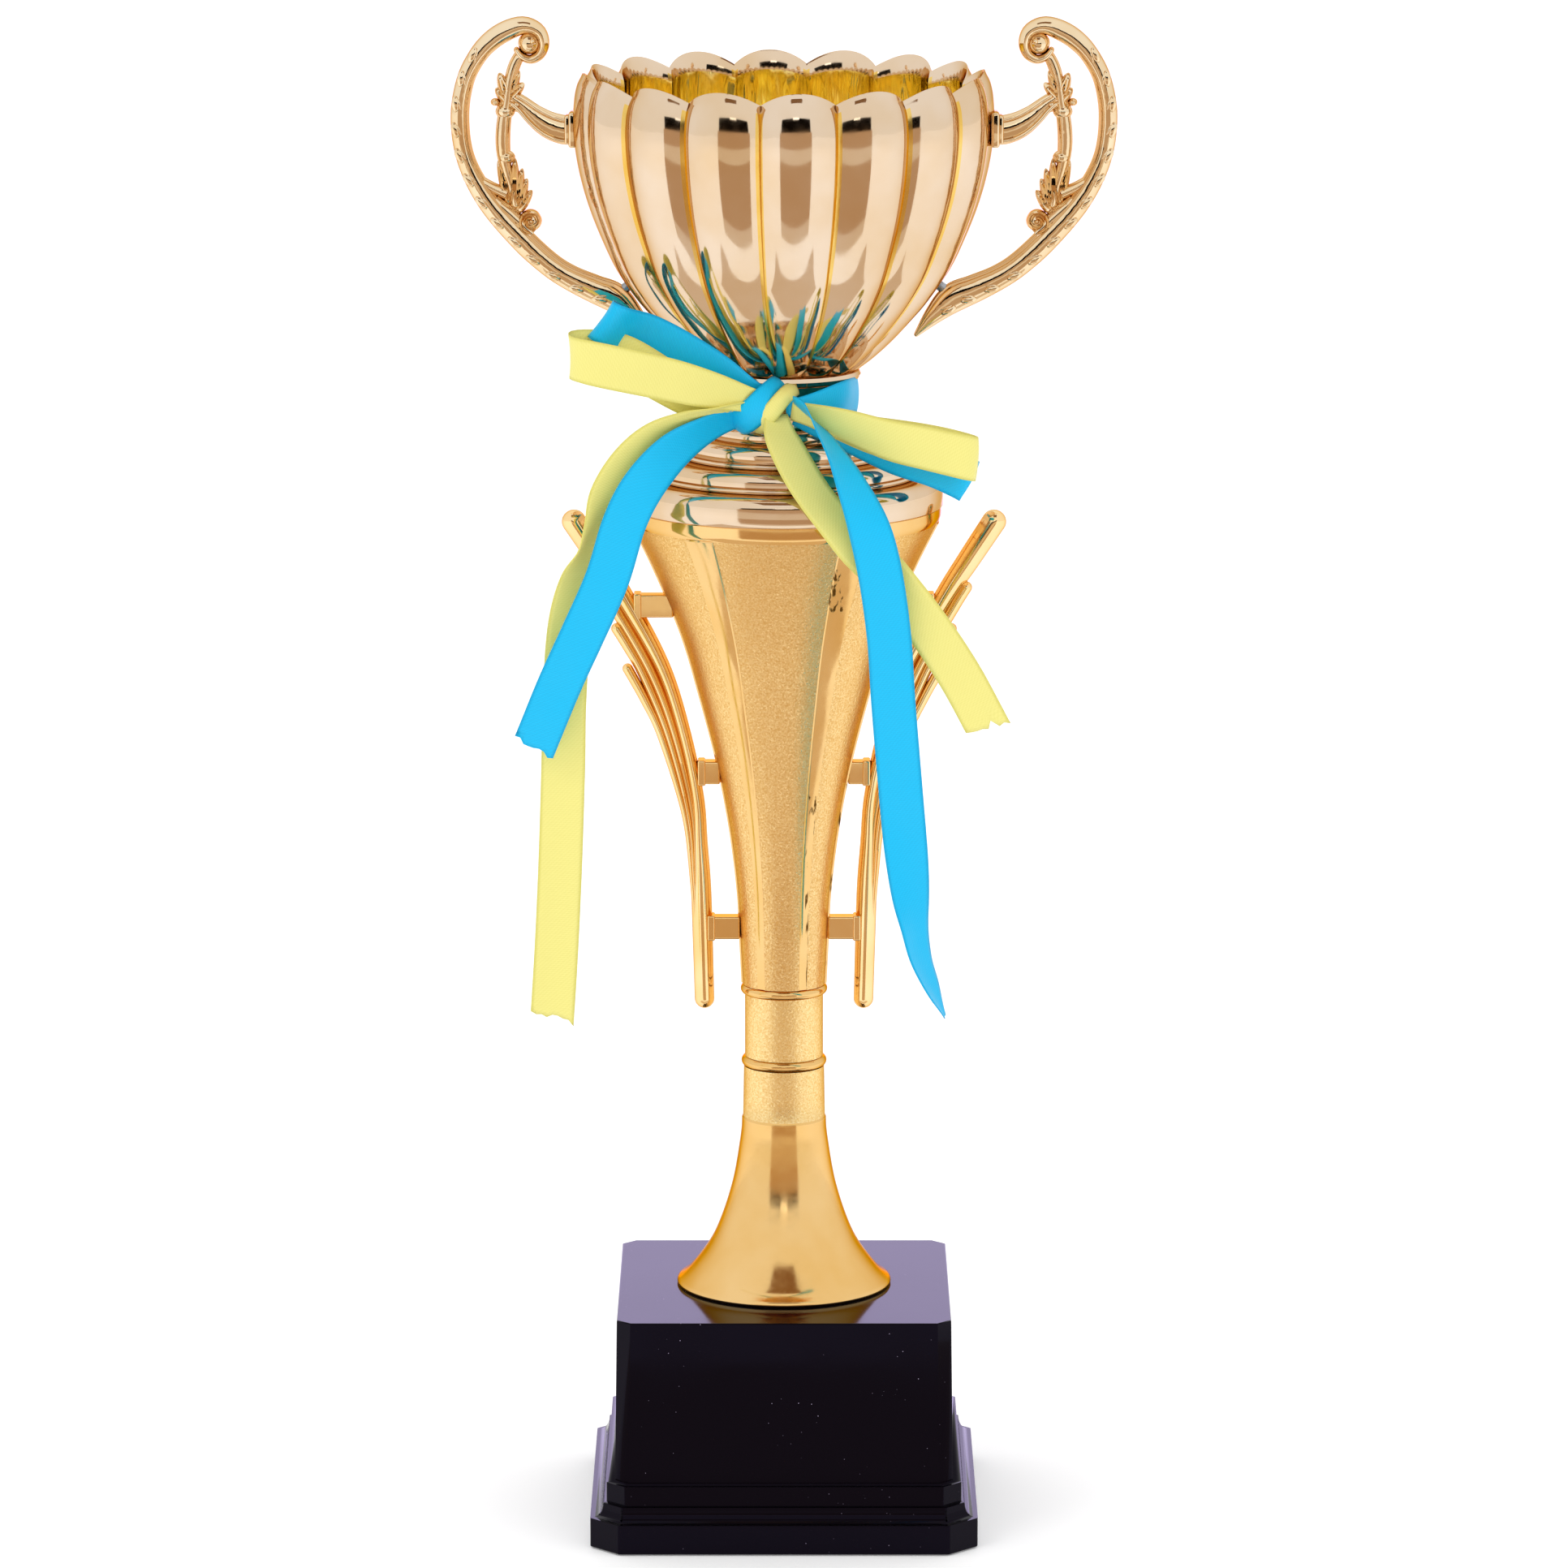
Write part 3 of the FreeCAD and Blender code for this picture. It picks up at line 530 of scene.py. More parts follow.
class Shape:
    """A mesh being made: the trophy's pieces are built in millimetres and scaled at the end."""

    weld = 1e-4                     # vertices closer than this are one, in millimetres
    end_crowding = 0.9              # how much closer together a bar's rings stand towards its ends

    def __init__(self, side: int = 1) -> None:
        """Starts an empty mesh; side -1 mirrors it to the trophy's left."""
        self.bm = bmesh.new()
        self.side = side

    def turned(self, outline: list[tuple[float, float]], steps: int = 144, start: float = 0.0) -> None:
        """Spins a closed outline round the trophy's axis.

        Args:
            outline: Radius and height of each corner.
            steps: Steps in the whole turn.
            start: Angle in degrees at which the first step stands.
        """
        turn = Matrix.Rotation(math.radians(start), 3, "Z")
        verts = [self.bm.verts.new(turn @ Vector((r, 0, z))) for r, z in outline]
        edges = [self.bm.edges.new((a, b)) for a, b in zip(verts, verts[1:] + verts[:1])]
        bmesh.ops.spin(self.bm, geom=verts + edges, cent=(0, 0, 0), axis=(0, 0, 1),
                       angle=math.tau, steps=steps, use_merge=True)

    def bar(self, stations: list[Numbers], section: Section = Section.ROUND, y: float = 0.0, rings: int = 48,
            sides: int = 16, blunt: tuple[bool, bool] = (False, True)) -> None:
        """Sweeps a bar through stations of x, z, width and depth in an upright plane.

        Args:
            stations: Middle line with the bar's width in the plane and its depth front to back.
            section: Round or flattened outline.
            y: The plane's place, towards the back.
            rings: Steps along the bar.
            sides: Steps round the bar.
            blunt: Whether the start and the end are rounded off.
        """
        route = Route(stations)
        made = bmesh.ops.create_grid(self.bm, x_segments=rings, y_segments=sides, size=0.5)["verts"]
        for vert in made:
            share = vert.co.x + 0.5
            distance = route.length * (share - self.end_crowding * math.sin(math.tau * share) / math.tau)
            around = math.tau * (vert.co.y + 0.5)
            x, z, width, depth = route.at(distance)
            run = route.run(distance)
            shrink = 1.0
            for rounded, gap in zip(blunt, (distance, route.length - distance)):
                if rounded and gap < width / 2:
                    shrink *= math.sqrt(max(0.0, 1 - (1 - gap / (width / 2)) ** 2))
            power = 2 / section.value
            across = math.copysign(abs(math.cos(around)) ** power, math.cos(around)) * width / 2 * shrink
            deep = math.copysign(abs(math.sin(around)) ** power, math.sin(around)) * depth / 2 * shrink
            vert.co = Vector((x + run.y * across, y + deep, z - run.x * across))
        self.close(made)

    def close(self, verts: list[bmesh.types.BMVert]) -> None:
        """Welds a rolled-up grid and fills its open ends.

        Args:
            verts: The grid's vertices.
        """
        bmesh.ops.remove_doubles(self.bm, verts=verts, dist=self.weld)
        rim = [edge for edge in self.bm.edges if edge.is_boundary]
        bmesh.ops.holes_fill(self.bm, edges=rim)

    def leaf(self, base: tuple[float, float], tip: tuple[float, float], width: float, depth: float,
             y: float = 0.0) -> None:
        """A pointed leaf with a hollow along its middle.

        Args:
            base: Where the leaf starts, as x and z.
            tip: Where it ends.
            width: Its width in the upright plane.
            depth: Its depth front to back.
            y: The plane's place, towards the back.
        """
        made = bmesh.ops.create_uvsphere(self.bm, u_segments=16, v_segments=12, radius=1.0)["verts"]
        for vert in made:
            reach = (vert.co.z + 1) / 2
            narrow = 1.12 - 0.42 * reach
            valley = 1 - 0.3 * math.exp(-(vert.co.x / 0.25) ** 2)
            vert.co = Vector((vert.co.x * narrow, vert.co.y * narrow * valley, vert.co.z))
        run = Vector((tip[0] - base[0], tip[1] - base[1]))
        lean = math.atan2(run.x, run.y)
        middle = Matrix.Translation(((base[0] + tip[0]) / 2, y, (base[1] + tip[1]) / 2))
        size = Matrix.Diagonal((width / 2, depth / 2, run.length / 2, 1))
        bmesh.ops.transform(self.bm, matrix=middle @ Matrix.Rotation(lean, 4, "Y") @ size, verts=made)

    def bead(self, x: float, z: float, radii: tuple[float, float, float], lean: float = 0.0,
             y: float = 0.0) -> None:
        """An egg-shaped swelling.

        Args:
            x: Its middle, to the right.
            z: Its middle, upwards.
            radii: Half its size along x, y and z before it leans.
            lean: Angle in degrees from upright.
            y: The plane's place, towards the back.
        """
        made = bmesh.ops.create_uvsphere(self.bm, u_segments=16, v_segments=10, radius=1.0)["verts"]
        place = Matrix.Translation((x, y, z)) @ Matrix.Rotation(math.radians(lean), 4, "Y")
        bmesh.ops.transform(self.bm, matrix=place @ Matrix.Diagonal((*radii, 1)), verts=made)

    def block(self, low: Numbers, high: Numbers, rounding: float) -> None:
        """A box between two corners with every edge rounded.

        Args:
            low: The corner with the smallest x, y and z.
            high: The corner with the largest.
            rounding: Width of the rounding.
        """
        middle = (Vector(low) + Vector(high)) / 2
        size = Vector(high) - Vector(low)
        place = Matrix.Translation(middle) @ Matrix.Diagonal((*size, 1))
        made = bmesh.ops.create_cube(self.bm, size=1.0, matrix=place)["verts"]
        edges = {edge for vert in made for edge in vert.link_edges}
        bmesh.ops.bevel(self.bm, geom=list(edges), offset=rounding, offset_type="OFFSET", segments=3,
                        profile=0.5, affect="EDGES", material=-1, clamp_overlap=True)

    def finish(self, name: str, stuffs: list[Stuff], replaced: str,
               sharp: float = 40.0, flat_faced: bool = False) -> bpy.types.Object:
        """Welds, turns the faces outward, scales to metres and hands the piece to the frame.

        Args:
            name: The piece's name.
            stuffs: Finishes in the order of the faces' material numbers.
            replaced: The CAD node that the piece stands for.
            sharp: Angle in degrees from which an edge is shaded sharp.
            flat_faced: Whether broad flat faces stay flat between their rounded edges.

        Returns:
            The finished object.
        """
        bmesh.ops.remove_doubles(self.bm, verts=self.bm.verts, dist=self.weld)
        bmesh.ops.transform(self.bm, matrix=Matrix.Diagonal((self.side * MM, MM, MM, 1)), verts=self.bm.verts)
        bmesh.ops.recalc_face_normals(self.bm, faces=self.bm.faces)
        piece = placed(self.bm, name, [stuff.material() for stuff in stuffs])
        piece.data.set_sharp_from_angle(angle=math.radians(sharp))
        if flat_faced:
            piece.modifiers.new("flat_faces", "WEIGHTED_NORMAL").keep_sharp = True
        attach(piece, BODY)
        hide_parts(replaced)
        return piece


def round_corner(r: float, z: float, radius: float, start: float, steps: int) -> list[tuple[float, float]]:
    """Points of a quarter circle round a centre at r and z, from the start angle in degrees onwards."""
    angles = [math.radians(start + 90 * i / steps) for i in range(steps + 1)]
    return [(r + radius * math.cos(a), z + radius * math.sin(a)) for a in angles]


# ---- plinth -------------------------------------------------------------------------------------
@dataclass
class Plinth:
    """Black square plinth with cut corners: foot, cove, step and block."""

    foot_half: float = 53.7
    foot_corner: float = 8.0
    foot_top: float = 8.3
    step_half: float = 49.2
    step_bottom: float = 12.4
    step_top: float = 18.1
    step_corner: float = 5.2
    block_low: float = 46.8
    block_top: float = 46.2
    block_corner: float = 3.8
    ledge: float = 0.9
    edge_round: float = 0.4

    def levels(self) -> list[Numbers]:
        """The plinth's outline at every height where it changes.

        Returns:
            Half width, corner cut and height of each level, upwards.
        """
        cove = self.foot_half - 0.6 - self.step_half - self.ledge
        rise = self.step_bottom - self.foot_top
        change = self.foot_corner - self.step_corner
        hollow = [(self.step_half + self.ledge + cove * (1 - math.sin(a)),
                   self.step_corner + change * (1 - math.sin(a)),
                   self.foot_top + 0.02 + rise * (1 - math.cos(a)))
                  for a in (math.radians(90 * i / 8) for i in range(9))]
        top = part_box("plinth_shell")[1][2] / MM
        return [(self.foot_half, self.foot_corner, 0.0), (self.foot_half, self.foot_corner, self.foot_top),
                *hollow, (self.step_half, self.step_corner, self.step_bottom + 0.3),
                (self.step_half, self.step_corner, self.step_top),
                (self.block_low, self.block_corner, self.step_top + 0.3),
                (self.block_top, self.block_corner, top)]

    def build(self) -> None:
        """Raises the outline level by level and rounds the moulding's edges."""
        shape = Shape()
        face = None
        for half, corner, z in self.levels():
            side = half - corner
            places = [Vector(place) for place in (
                (half, -side, z), (half, side, z), (side, half, z), (-side, half, z),
                (-half, side, z), (-half, -side, z), (-side, -half, z), (side, -half, z))]
            if face is None:
                corners = [shape.bm.verts.new(place) for place in places]
                face = shape.bm.faces.new(corners)
                continue
            raised = bmesh.ops.extrude_face_region(shape.bm, geom=[face])["geom"]
            face = next(item for item in raised if isinstance(item, bmesh.types.BMFace))
            for vert in face.verts:
                away = vert.co.xy.normalized()
                vert.co = min(places, key=lambda place: (place.xy.normalized() - away).length)
        crisp = [edge for edge in shape.bm.edges
                 if len(edge.link_faces) == 2 and edge.calc_face_angle() > math.radians(30)]
        bmesh.ops.recalc_face_normals(shape.bm, faces=shape.bm.faces)
        bmesh.ops.bevel(shape.bm, geom=crisp, offset=self.edge_round, offset_type="OFFSET", segments=4,
                        profile=0.5, affect="EDGES", material=-1, clamp_overlap=True)
        shape.finish("plinth", [Stuff.BLACK], "plinth_shell", sharp=30, flat_faced=True)


# ---- column -------------------------------------------------------------------------------------
@dataclass
class Column:
    """Trumpet foot, two bead rings and the frosted collar, all turned."""

    wall: float = 1.8
    bore: float = 3.3
    frost_from: float = 112.2
    plug: float = 2.5               # thickness of the foot's closed top

    def foot(self) -> None:
        """Flared foot whose top band is frosted."""
        low, high = (corner[2] / MM for corner in (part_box("stem_foot")[0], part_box("stem_foot")[1]))
        flare = Route([(30.0, 65.2), (26.0, 68.6), (19.6, 78.0), (14.7, 92.0), (12.2, 106.0), (11.75, 112.0)],
                      per_span=8)
        outer = [(29.6, low), *round_corner(29.3, low + 0.7, 0.7, -45, 5), *flare.points[1:-1],
                 (11.7, self.frost_from - 0.3), (11.45, self.frost_from), (11.35, 118.0), (11.2, high)]
        inner = [(r - self.wall, z) for r, z in outer if 66 < z < high - self.plug]
        ceiling = [(self.bore, high), (self.bore, high - self.plug), (9.4, high - self.plug)]
        shape = Shape()
        shape.turned(outer + ceiling + inner[::-1])
        # the frosted band takes material 1, the lighter frosted copy with painted light
        for face in shape.bm.faces:
            middle = face.calc_center_median()
            face.material_index = int(middle.z > self.frost_from and middle.xy.length > 10.5)
        shape.finish("trumpet_foot", [Stuff.TRUMPET, Stuff.FROST_TUBE], "stem_foot")

    def bead(self, node: str) -> None:
        """Bright ring with a half-round rim.

        Args:
            node: The CAD node that it stands for.
        """
        low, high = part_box(node)
        bottom, top, radius = low[2] / MM, high[2] / MM, high[0] / MM
        half = (top - bottom) / 2
        rim = [(radius - half + half * math.cos(a), bottom + half + half * math.sin(a))
               for a in (math.radians(-90 + 180 * i / 14) for i in range(15))]
        shape = Shape()
        shape.turned([(self.bore, bottom), *rim, (self.bore, top)])
        shape.finish(node.replace("_ring", ""), [Stuff.WARM], node)

    def collar(self) -> None:
        """Frosted tube between the two beads."""
        low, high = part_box("collar")
        radius = high[0] / MM
        shape = Shape()
        shape.turned([(radius, low[2] / MM), (radius, high[2] / MM), (radius - self.wall, high[2] / MM),
                      (radius - self.wall, low[2] / MM)])
        # the collar takes the lighter frosted copy, with painted light
        shape.finish("frosted_collar", [Stuff.FROST_TUBE], "collar")

    def build(self) -> None:
        """Makes the foot, the beads and the collar."""
        self.foot()
        self.bead("lower_bead_ring")
        self.bead("upper_bead_ring")
        self.collar()


@dataclass
class Cone:
    """Hollow cone with six frosted panels between polished ribs, under a polished rim."""

    wall: float = 1.8
    bore: float = 3.3
    panels: int = 6
    first_rib: float = -33.0
    rib_angle: float = 12.0
    rib_proud: float = 0.4
    bottom: float = 150.0
    floor: float = 152.5
    panel_top: float = 280.6
    step: float = 2.0
    line: tuple = ((11.5, 150.0), (12.1, 162.0), (12.8, 176.0), (15.0, 194.0), (18.5, 212.5), (23.2, 231.0),
                   (28.4, 249.0), (36.0, 267.6), (42.6, 281.0))

    def rib_distance(self, face: bmesh.types.BMFace) -> float:
        """How far round the cone a face lies from a rib.

        Args:
            face: A face of the cone.

        Returns:
            Angle in degrees from the face's middle to the nearest rib's middle.
        """
        middle = face.calc_center_median()
        angle = math.degrees(math.atan2(middle.x, -middle.y)) - self.first_rib
        pitch = 360 / self.panels
        return abs((angle + pitch / 2) % pitch - pitch / 2)

    def build(self) -> None:
        """Turns the cone, lifts the ribs and frosts the panels."""
        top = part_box("cone_body")[1][2] / MM
        outer = [point[:2] for point in Route(list(self.line), per_span=6).points]
        outer += [(43.1, 281.7), (43.4, 283.0), (43.4, top - 0.3), (43.1, top)]
        inner = [(r - self.wall, z) for r, z in outer if z > self.floor]
        foot = [(9.8, self.floor), (self.bore, self.floor), (self.bore, self.bottom)]
        shape = Shape()
        shape.turned(outer + inner[::-1] + foot,
                     steps=int(360 / self.step), start=-90 + self.first_rib - self.rib_angle / 2)
        skin = [face for face in shape.bm.faces
                if face.calc_center_median().xy.length > self.radius_at(face.calc_center_median().z) - 0.6]
        ribs = [face for face in skin if self.rib_distance(face) < self.rib_angle / 2
                and face.calc_center_median().z < self.panel_top]
        for face in skin:
            height = face.calc_center_median().z
            is_panel = self.rib_distance(face) > self.rib_angle / 2 and height < self.panel_top
            face.material_index = 2 if is_panel else 0
        for face in ribs:
            face.material_index = 1
        bmesh.ops.recalc_face_normals(shape.bm, faces=shape.bm.faces)
        bmesh.ops.inset_region(shape.bm, faces=ribs, thickness=0.25, depth=self.rib_proud,
                               use_even_offset=True)
        shape.finish("panelled_cone", [Stuff.WARM, Stuff.RIB, Stuff.FROST], "cone_body",
                     sharp=28)

    def radius_at(self, z: float) -> float:
        """Outer radius of the cone at a height.

        Args:
            z: The height.

        Returns:
            The radius, or that of the nearer end for a height beyond the cone.
        """
        for (r_low, low), (r_high, high) in zip(self.line, self.line[1:]):
            if low <= z <= high:
                return r_low + (r_high - r_low) * (z - low) / (high - low)
        return self.line[-1][0] if z > self.line[-1][1] else self.line[0][0]


@dataclass
class Dome:
    """Four rounded steps, each with a fine bead at its foot."""

    tiers: tuple = ((44.0, 285.5, 3.2, False), (37.1, 293.7, 2.4, True), (28.7, 299.1, 2.2, True),
                    (21.4, 304.9, 1.8, False))
    top: float = 308.6
    bead: float = 0.7
    bore: float = 3.3
    room: tuple = ((3.3, 306.0), (18.8, 306.0), (18.8, 302.0), (26.1, 302.0), (26.1, 296.8), (34.5, 296.8),
                   (34.5, 291.4), (41.0, 291.4))
    neck_wall: tuple = (14.0, 17.0)     # the neck's inner and outer radius
    flange_from: float = 320.5

    def outline(self) -> list[tuple[float, float]]:
        """The lid's section, up over the steps and back down inside.

        Returns:
            Radius and height of each corner.
        """
        points: list[tuple[float, float]] = [(41.2, self.tiers[0][1])]
        tops = [tier[1] for tier in self.tiers[1:]] + [self.top]
        for (radius, bottom, rounding, beaded), top in zip(self.tiers, tops):
            if beaded:
                points += [(radius - 0.4 + self.bead * math.cos(a),
                            bottom + self.bead + self.bead * math.sin(a))
                           for a in (math.radians(-80 + 160 * i / 8) for i in range(9))]
                points.append((radius - 0.55, bottom + 2 * self.bead + 0.1))
                points.append((radius - 0.2, bottom + 2 * self.bead + 0.35))
            else:
                points += [(radius - 0.25, bottom), (radius, bottom + 0.25)]
            points.append((radius, (bottom + top - rounding) / 2 + self.bead / 2))
            points += round_corner(radius - rounding, top - rounding, rounding, 0, 8)
        return points + [(self.bore, self.top), *self.room]

    def build(self) -> None:
        """Turns the lid and the neck."""
        lid = Shape()
        lid.turned(self.outline(), steps=180)
        lid.finish("four_step_dome", [Stuff.CHAMPAGNE], "stepped_dome", sharp=50)
        low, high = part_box("neck_spool")
        bottom, top, flange = low[2] / MM, high[2] / MM, high[0] / MM
        inner, outer = self.neck_wall
        under = self.flange_from
        half = (top - under) / 2
        neck = Shape()
        neck.turned([(inner, bottom), (outer, bottom), (outer, under - 0.6), (outer + 0.6, under),
                     (flange - half, under), (flange - half * 0.3, under + half * 0.3),
                     (flange, under + half), (flange - half * 0.3, top - half * 0.3), (flange - half, top),
                     (self.bore, top), (self.bore, under), (inner, under)])
        neck.finish("neck_and_flange", [Stuff.CHAMPAGNE], "neck_spool")


# ---- bowl ---------------------------------------------------------------------------------------
@dataclass
class Bowl:
    """Sixteen-lobed bowl: convex flutes outside, arched rim, pale lip and yellow lacquer inside."""

    lobes: int = 16
    first_lobe: float = 4.25
    groove_share: float = 0.94
    rim: float = 405.0
    arch_radius: float = 16.0
    lip_from: float = 399.6
    outside: tuple = ((21.0, 323.5), (25.8, 327.2), (31.0, 332.0), (36.2, 337.6), (41.0, 343.3),
                      (46.2, 351.0), (50.2, 359.5), (53.4, 367.7), (55.7, 375.6), (57.2, 383.4),
                      (57.8, 391.0), (57.5, 397.6), (56.7, 401.6), (55.6, 403.9))
    room: tuple = ((54.8, 404.9), (54.3, 403.4), (53.8, 399.6), (53.6, 391.0), (52.4, 376.6), (48.2, 360.5),
                   (39.4, 344.3), (29.4, 333.0), (24.6, 329.2), (20.2, 326.4))
    # places of the vertices from a lobe's crest to its groove, closer together near the groove
    spread: tuple = (0.0, 0.14, 0.28, 0.42, 0.56, 0.69, 0.81, 0.91, 0.965, 1.0)

    def swell(self, offset: float) -> float:
        """Radius at an angle from a lobe's crest, as a share of the crest's radius.

        Each lobe is an arc through its crest and its two grooves.

        Args:
            offset: The angle, in radians.

        Returns:
            One at the crest, and less towards the grooves.
        """
        half = math.pi / self.lobes
        along = self.groove_share * math.cos(half)
        aside = self.groove_share * math.sin(half)
        centre = (1 - along ** 2 - aside ** 2) / (2 * (1 - along))
        radius = 1 - centre
        return centre * math.cos(offset) + math.sqrt(radius ** 2 - (centre * math.sin(offset)) ** 2)

    def section(self) -> list[tuple[float, float]]:
        """The wall's closed section at a lobe's crest: under, outside, rim, inside and floor.

        Returns:
            Radius and height of each corner.
        """
        outer = [point[:2] for point in Route(list(self.outside), per_span=5).points]
        inner = [point[:2] for point in Route(list(self.room), per_span=5).points]
        rim = [(55.35, 404.5), (55.1, self.rim)]
        return [(3.3, 323.4), (12.0, 323.4), *outer, *rim, *inner, (12.0, 326.0), (3.3, 326.0)]

    def build(self) -> None:
        """Spins the section, presses the lobes in and arches the rim."""
        shape = Shape()
        per_lobe = 2 * (len(self.spread) - 1)
        shape.turned(self.section(), steps=self.lobes * per_lobe)
        step = math.tau / (self.lobes * per_lobe)
        pitch = math.tau / self.lobes
        start = math.radians(self.first_lobe - 90)
        bmesh.ops.recalc_face_normals(shape.bm, faces=shape.bm.faces)
        for face in shape.bm.faces:
            middle = face.calc_center_median()
            number = round(math.atan2(middle.y, middle.x) / step - 0.5)
            from_crest = abs(number % per_lobe + 0.5 - per_lobe / 2)
            inward = face.normal.xy.dot(middle.xy) < 0 or (face.normal.z > 0.5 and middle.z < 345)
            if inward and middle.z < self.lip_from:
                face.material_index = 1
            # faces next to each groove take the yellower plating, a painted reflection of the neighbouring
            # lobes
            elif from_crest > per_lobe / 2 - 2 and middle.xy.length > 26 and middle.z < 402:
                face.material_index = 2
        for vert in shape.bm.verts:
            number = round(math.atan2(vert.co.y, vert.co.x) / step)
            # a groove lies at every whole lobe of steps, and a crest halfway between two
            place = number % per_lobe - per_lobe / 2
            offset = math.copysign(self.spread[int(abs(place))], place) * pitch / 2
            crest = (number // per_lobe + 0.5) * pitch
            radius, height = vert.co.xy.length, vert.co.z
            if radius > 15:
                radius *= self.swell(offset)
            aside = radius * math.sin(offset)
            drop = self.arch_radius - math.sqrt(self.arch_radius ** 2 - aside ** 2)
            height -= drop * min(max((height - 384) / (self.rim - 384), 0.0), 1.0) ** 2
            angle = crest + offset + start + pitch / 2
            vert.co = Vector((radius * math.cos(angle), radius * math.sin(angle), height))
        shape.finish("fluted_bowl", [Stuff.CHAMPAGNE, Stuff.INSIDE, Stuff.POOLED], "bowl",
                     sharp=50)


# ---- handles ------------------------------------------------------------------------------------
@dataclass
class Handle:
    """C-scroll handle: curled outer scroll, inner stem with leaf clusters, volute and upper arm."""

    side: int = 1
    scroll: tuple = ((73.4, 411.6, 1.5, 4.0), (71.8, 409.3, 2.1, 5.0), (69.1, 408.3, 2.5, 5.6),
                     (66.5, 409.8, 2.9, 6.2), (65.6, 412.8, 3.3, 6.6), (66.9, 416.1, 3.8, 6.8),
                     (70.7, 417.6, 4.8, 7.0), (75.0, 416.4, 5.6, 7.0), (79.4, 413.8, 5.6, 7.0),
                     (83.4, 409.6, 5.2, 7.0), (87.0, 402.6, 5.0, 7.0), (88.6, 392.4, 5.2, 7.0),
                     (87.0, 380.8, 5.2, 7.0), (81.2, 369.6, 6.2, 7.0), (72.0, 359.0, 7.0, 7.0),
                     (64.4, 352.0, 6.9, 6.8), (58.6, 348.2, 7.1, 6.4), (52.0, 345.1, 7.9, 6.0),
                     (46.4, 342.6, 8.3, 5.4), (41.2, 338.0, 5.4, 4.4), (35.9, 332.0, 1.0, 2.0))
    stem: tuple = ((71.8, 410.2, 3.0, 4.4), (73.7, 406.3, 3.4, 4.6), (75.0, 401.6, 3.2, 4.8),
                   (75.7, 396.3, 3.6, 4.8), (76.6, 391.0, 4.0, 4.8), (76.9, 385.8, 4.1, 4.8),
                   (76.6, 381.5, 3.8, 4.8), (75.8, 377.3, 3.0, 5.0), (74.3, 372.0, 2.8, 5.0),
                   (73.2, 367.2, 2.8, 5.0))
    arm: tuple = ((57.4, 389.0, 8.2, 5.2), (60.5, 389.0, 8.1, 5.2), (64.5, 390.4, 7.4, 5.0),
                  (68.3, 393.0, 6.0, 4.8), (71.4, 395.8, 4.4, 4.6), (74.2, 397.8, 3.6, 4.4))
    webs: tuple = (((76.0, 371.4, 3.4, 5.2), (80.0, 373.2, 3.0, 5.2), (84.6, 375.8, 3.0, 5.4)),
                   ((69.0, 360.4, 3.6, 5.6), (73.6, 364.4, 4.4, 5.4), (79.4, 369.6, 4.0, 5.4)))
    stars: tuple = (((75.6, 397.2), (71.0, 401.8), 3.6, 5.8), ((75.2, 398.6), (72.3, 405.2), 3.2, 5.6),
                    ((75.3, 397.4), (77.8, 404.6), 3.8, 6.0), ((75.0, 396.4), (78.8, 400.4), 3.6, 5.8),
                    ((75.6, 398.0), (71.9, 393.8), 3.4, 5.8), ((75.2, 398.0), (78.3, 392.9), 3.6, 5.8))
    fan: tuple = (((73.9, 366.6), (73.6, 381.2), 3.4, 6.8), ((73.8, 366.4), (71.6, 378.4), 3.4, 6.4),
                  ((73.6, 366.4), (70.3, 375.6), 3.4, 6.0), ((73.4, 366.0), (69.0, 372.4), 3.4, 5.6),
                  ((74.4, 368.0), (76.2, 382.4), 3.4, 6.2), ((74.8, 368.0), (78.2, 380.6), 3.4, 5.8),
                  ((73.7, 366.4), (81.4, 370.2), 3.4, 6.4), ((73.6, 364.8), (80.4, 367.2), 3.2, 6.2))
    # places and radii of the round knobs among the leaves
    knobs: tuple = ((78.9, 396.6, 1.3), (76.2, 394.0, 2.7), (73.0, 396.0, 1.5), (76.0, 381.4, 2.5))
    volute_centre: tuple = (69.2, 364.0)
    volute_turns: float = 1.6
    dimples: int = 14
    dimple_pitch: float = 6.9
    dimple_start: float = 36.0

    def volute(self, shape: Shape) -> None:
        """Spiral ridge round a domed disc.

        Args:
            shape: The handle's mesh.
        """
        x, z = self.volute_centre
        stations = []
        for i in range(15):
            turn = math.tau * self.volute_turns * i / 14
            radius = 0.8 + 2.5 * i / 14
            stations.append((x + radius * math.cos(2.2 - turn), z + radius * math.sin(2.2 - turn), 1.25, 7.2))
        shape.bar(stations, Section.BAND, rings=72, sides=12, blunt=(True, True))
        shape.bead(x, z, (2.9, 2.9, 2.9))
        shape.bead(x, z, (0.9, 3.8, 0.9))

    def crescents(self, shape: Shape) -> None:
        """Raised crescents along the outer margin, on the front and on the back.

        Args:
            shape: The handle's mesh.
        """
        route = Route(list(self.scroll))
        for i in range(self.dimples):
            distance = self.dimple_start + i * self.dimple_pitch
            x, z, width, depth = route.at(distance)
            run = route.run(distance)
            out = Vector((-run.y, run.x))
            middle = Vector((x, z)) + out * width * 0.24
            lean = math.degrees(math.atan2(run.x, run.y)) + 12
            for face in (-1, 1):
                y = face * depth * 0.42
                shape.bead(middle.x, middle.y, (1.15, 0.95, 2.3), lean, y)
                inner = middle - out * 1.05
                shape.bead(inner.x, inner.y, (0.5, 0.75, 1.9), lean + 10, y)

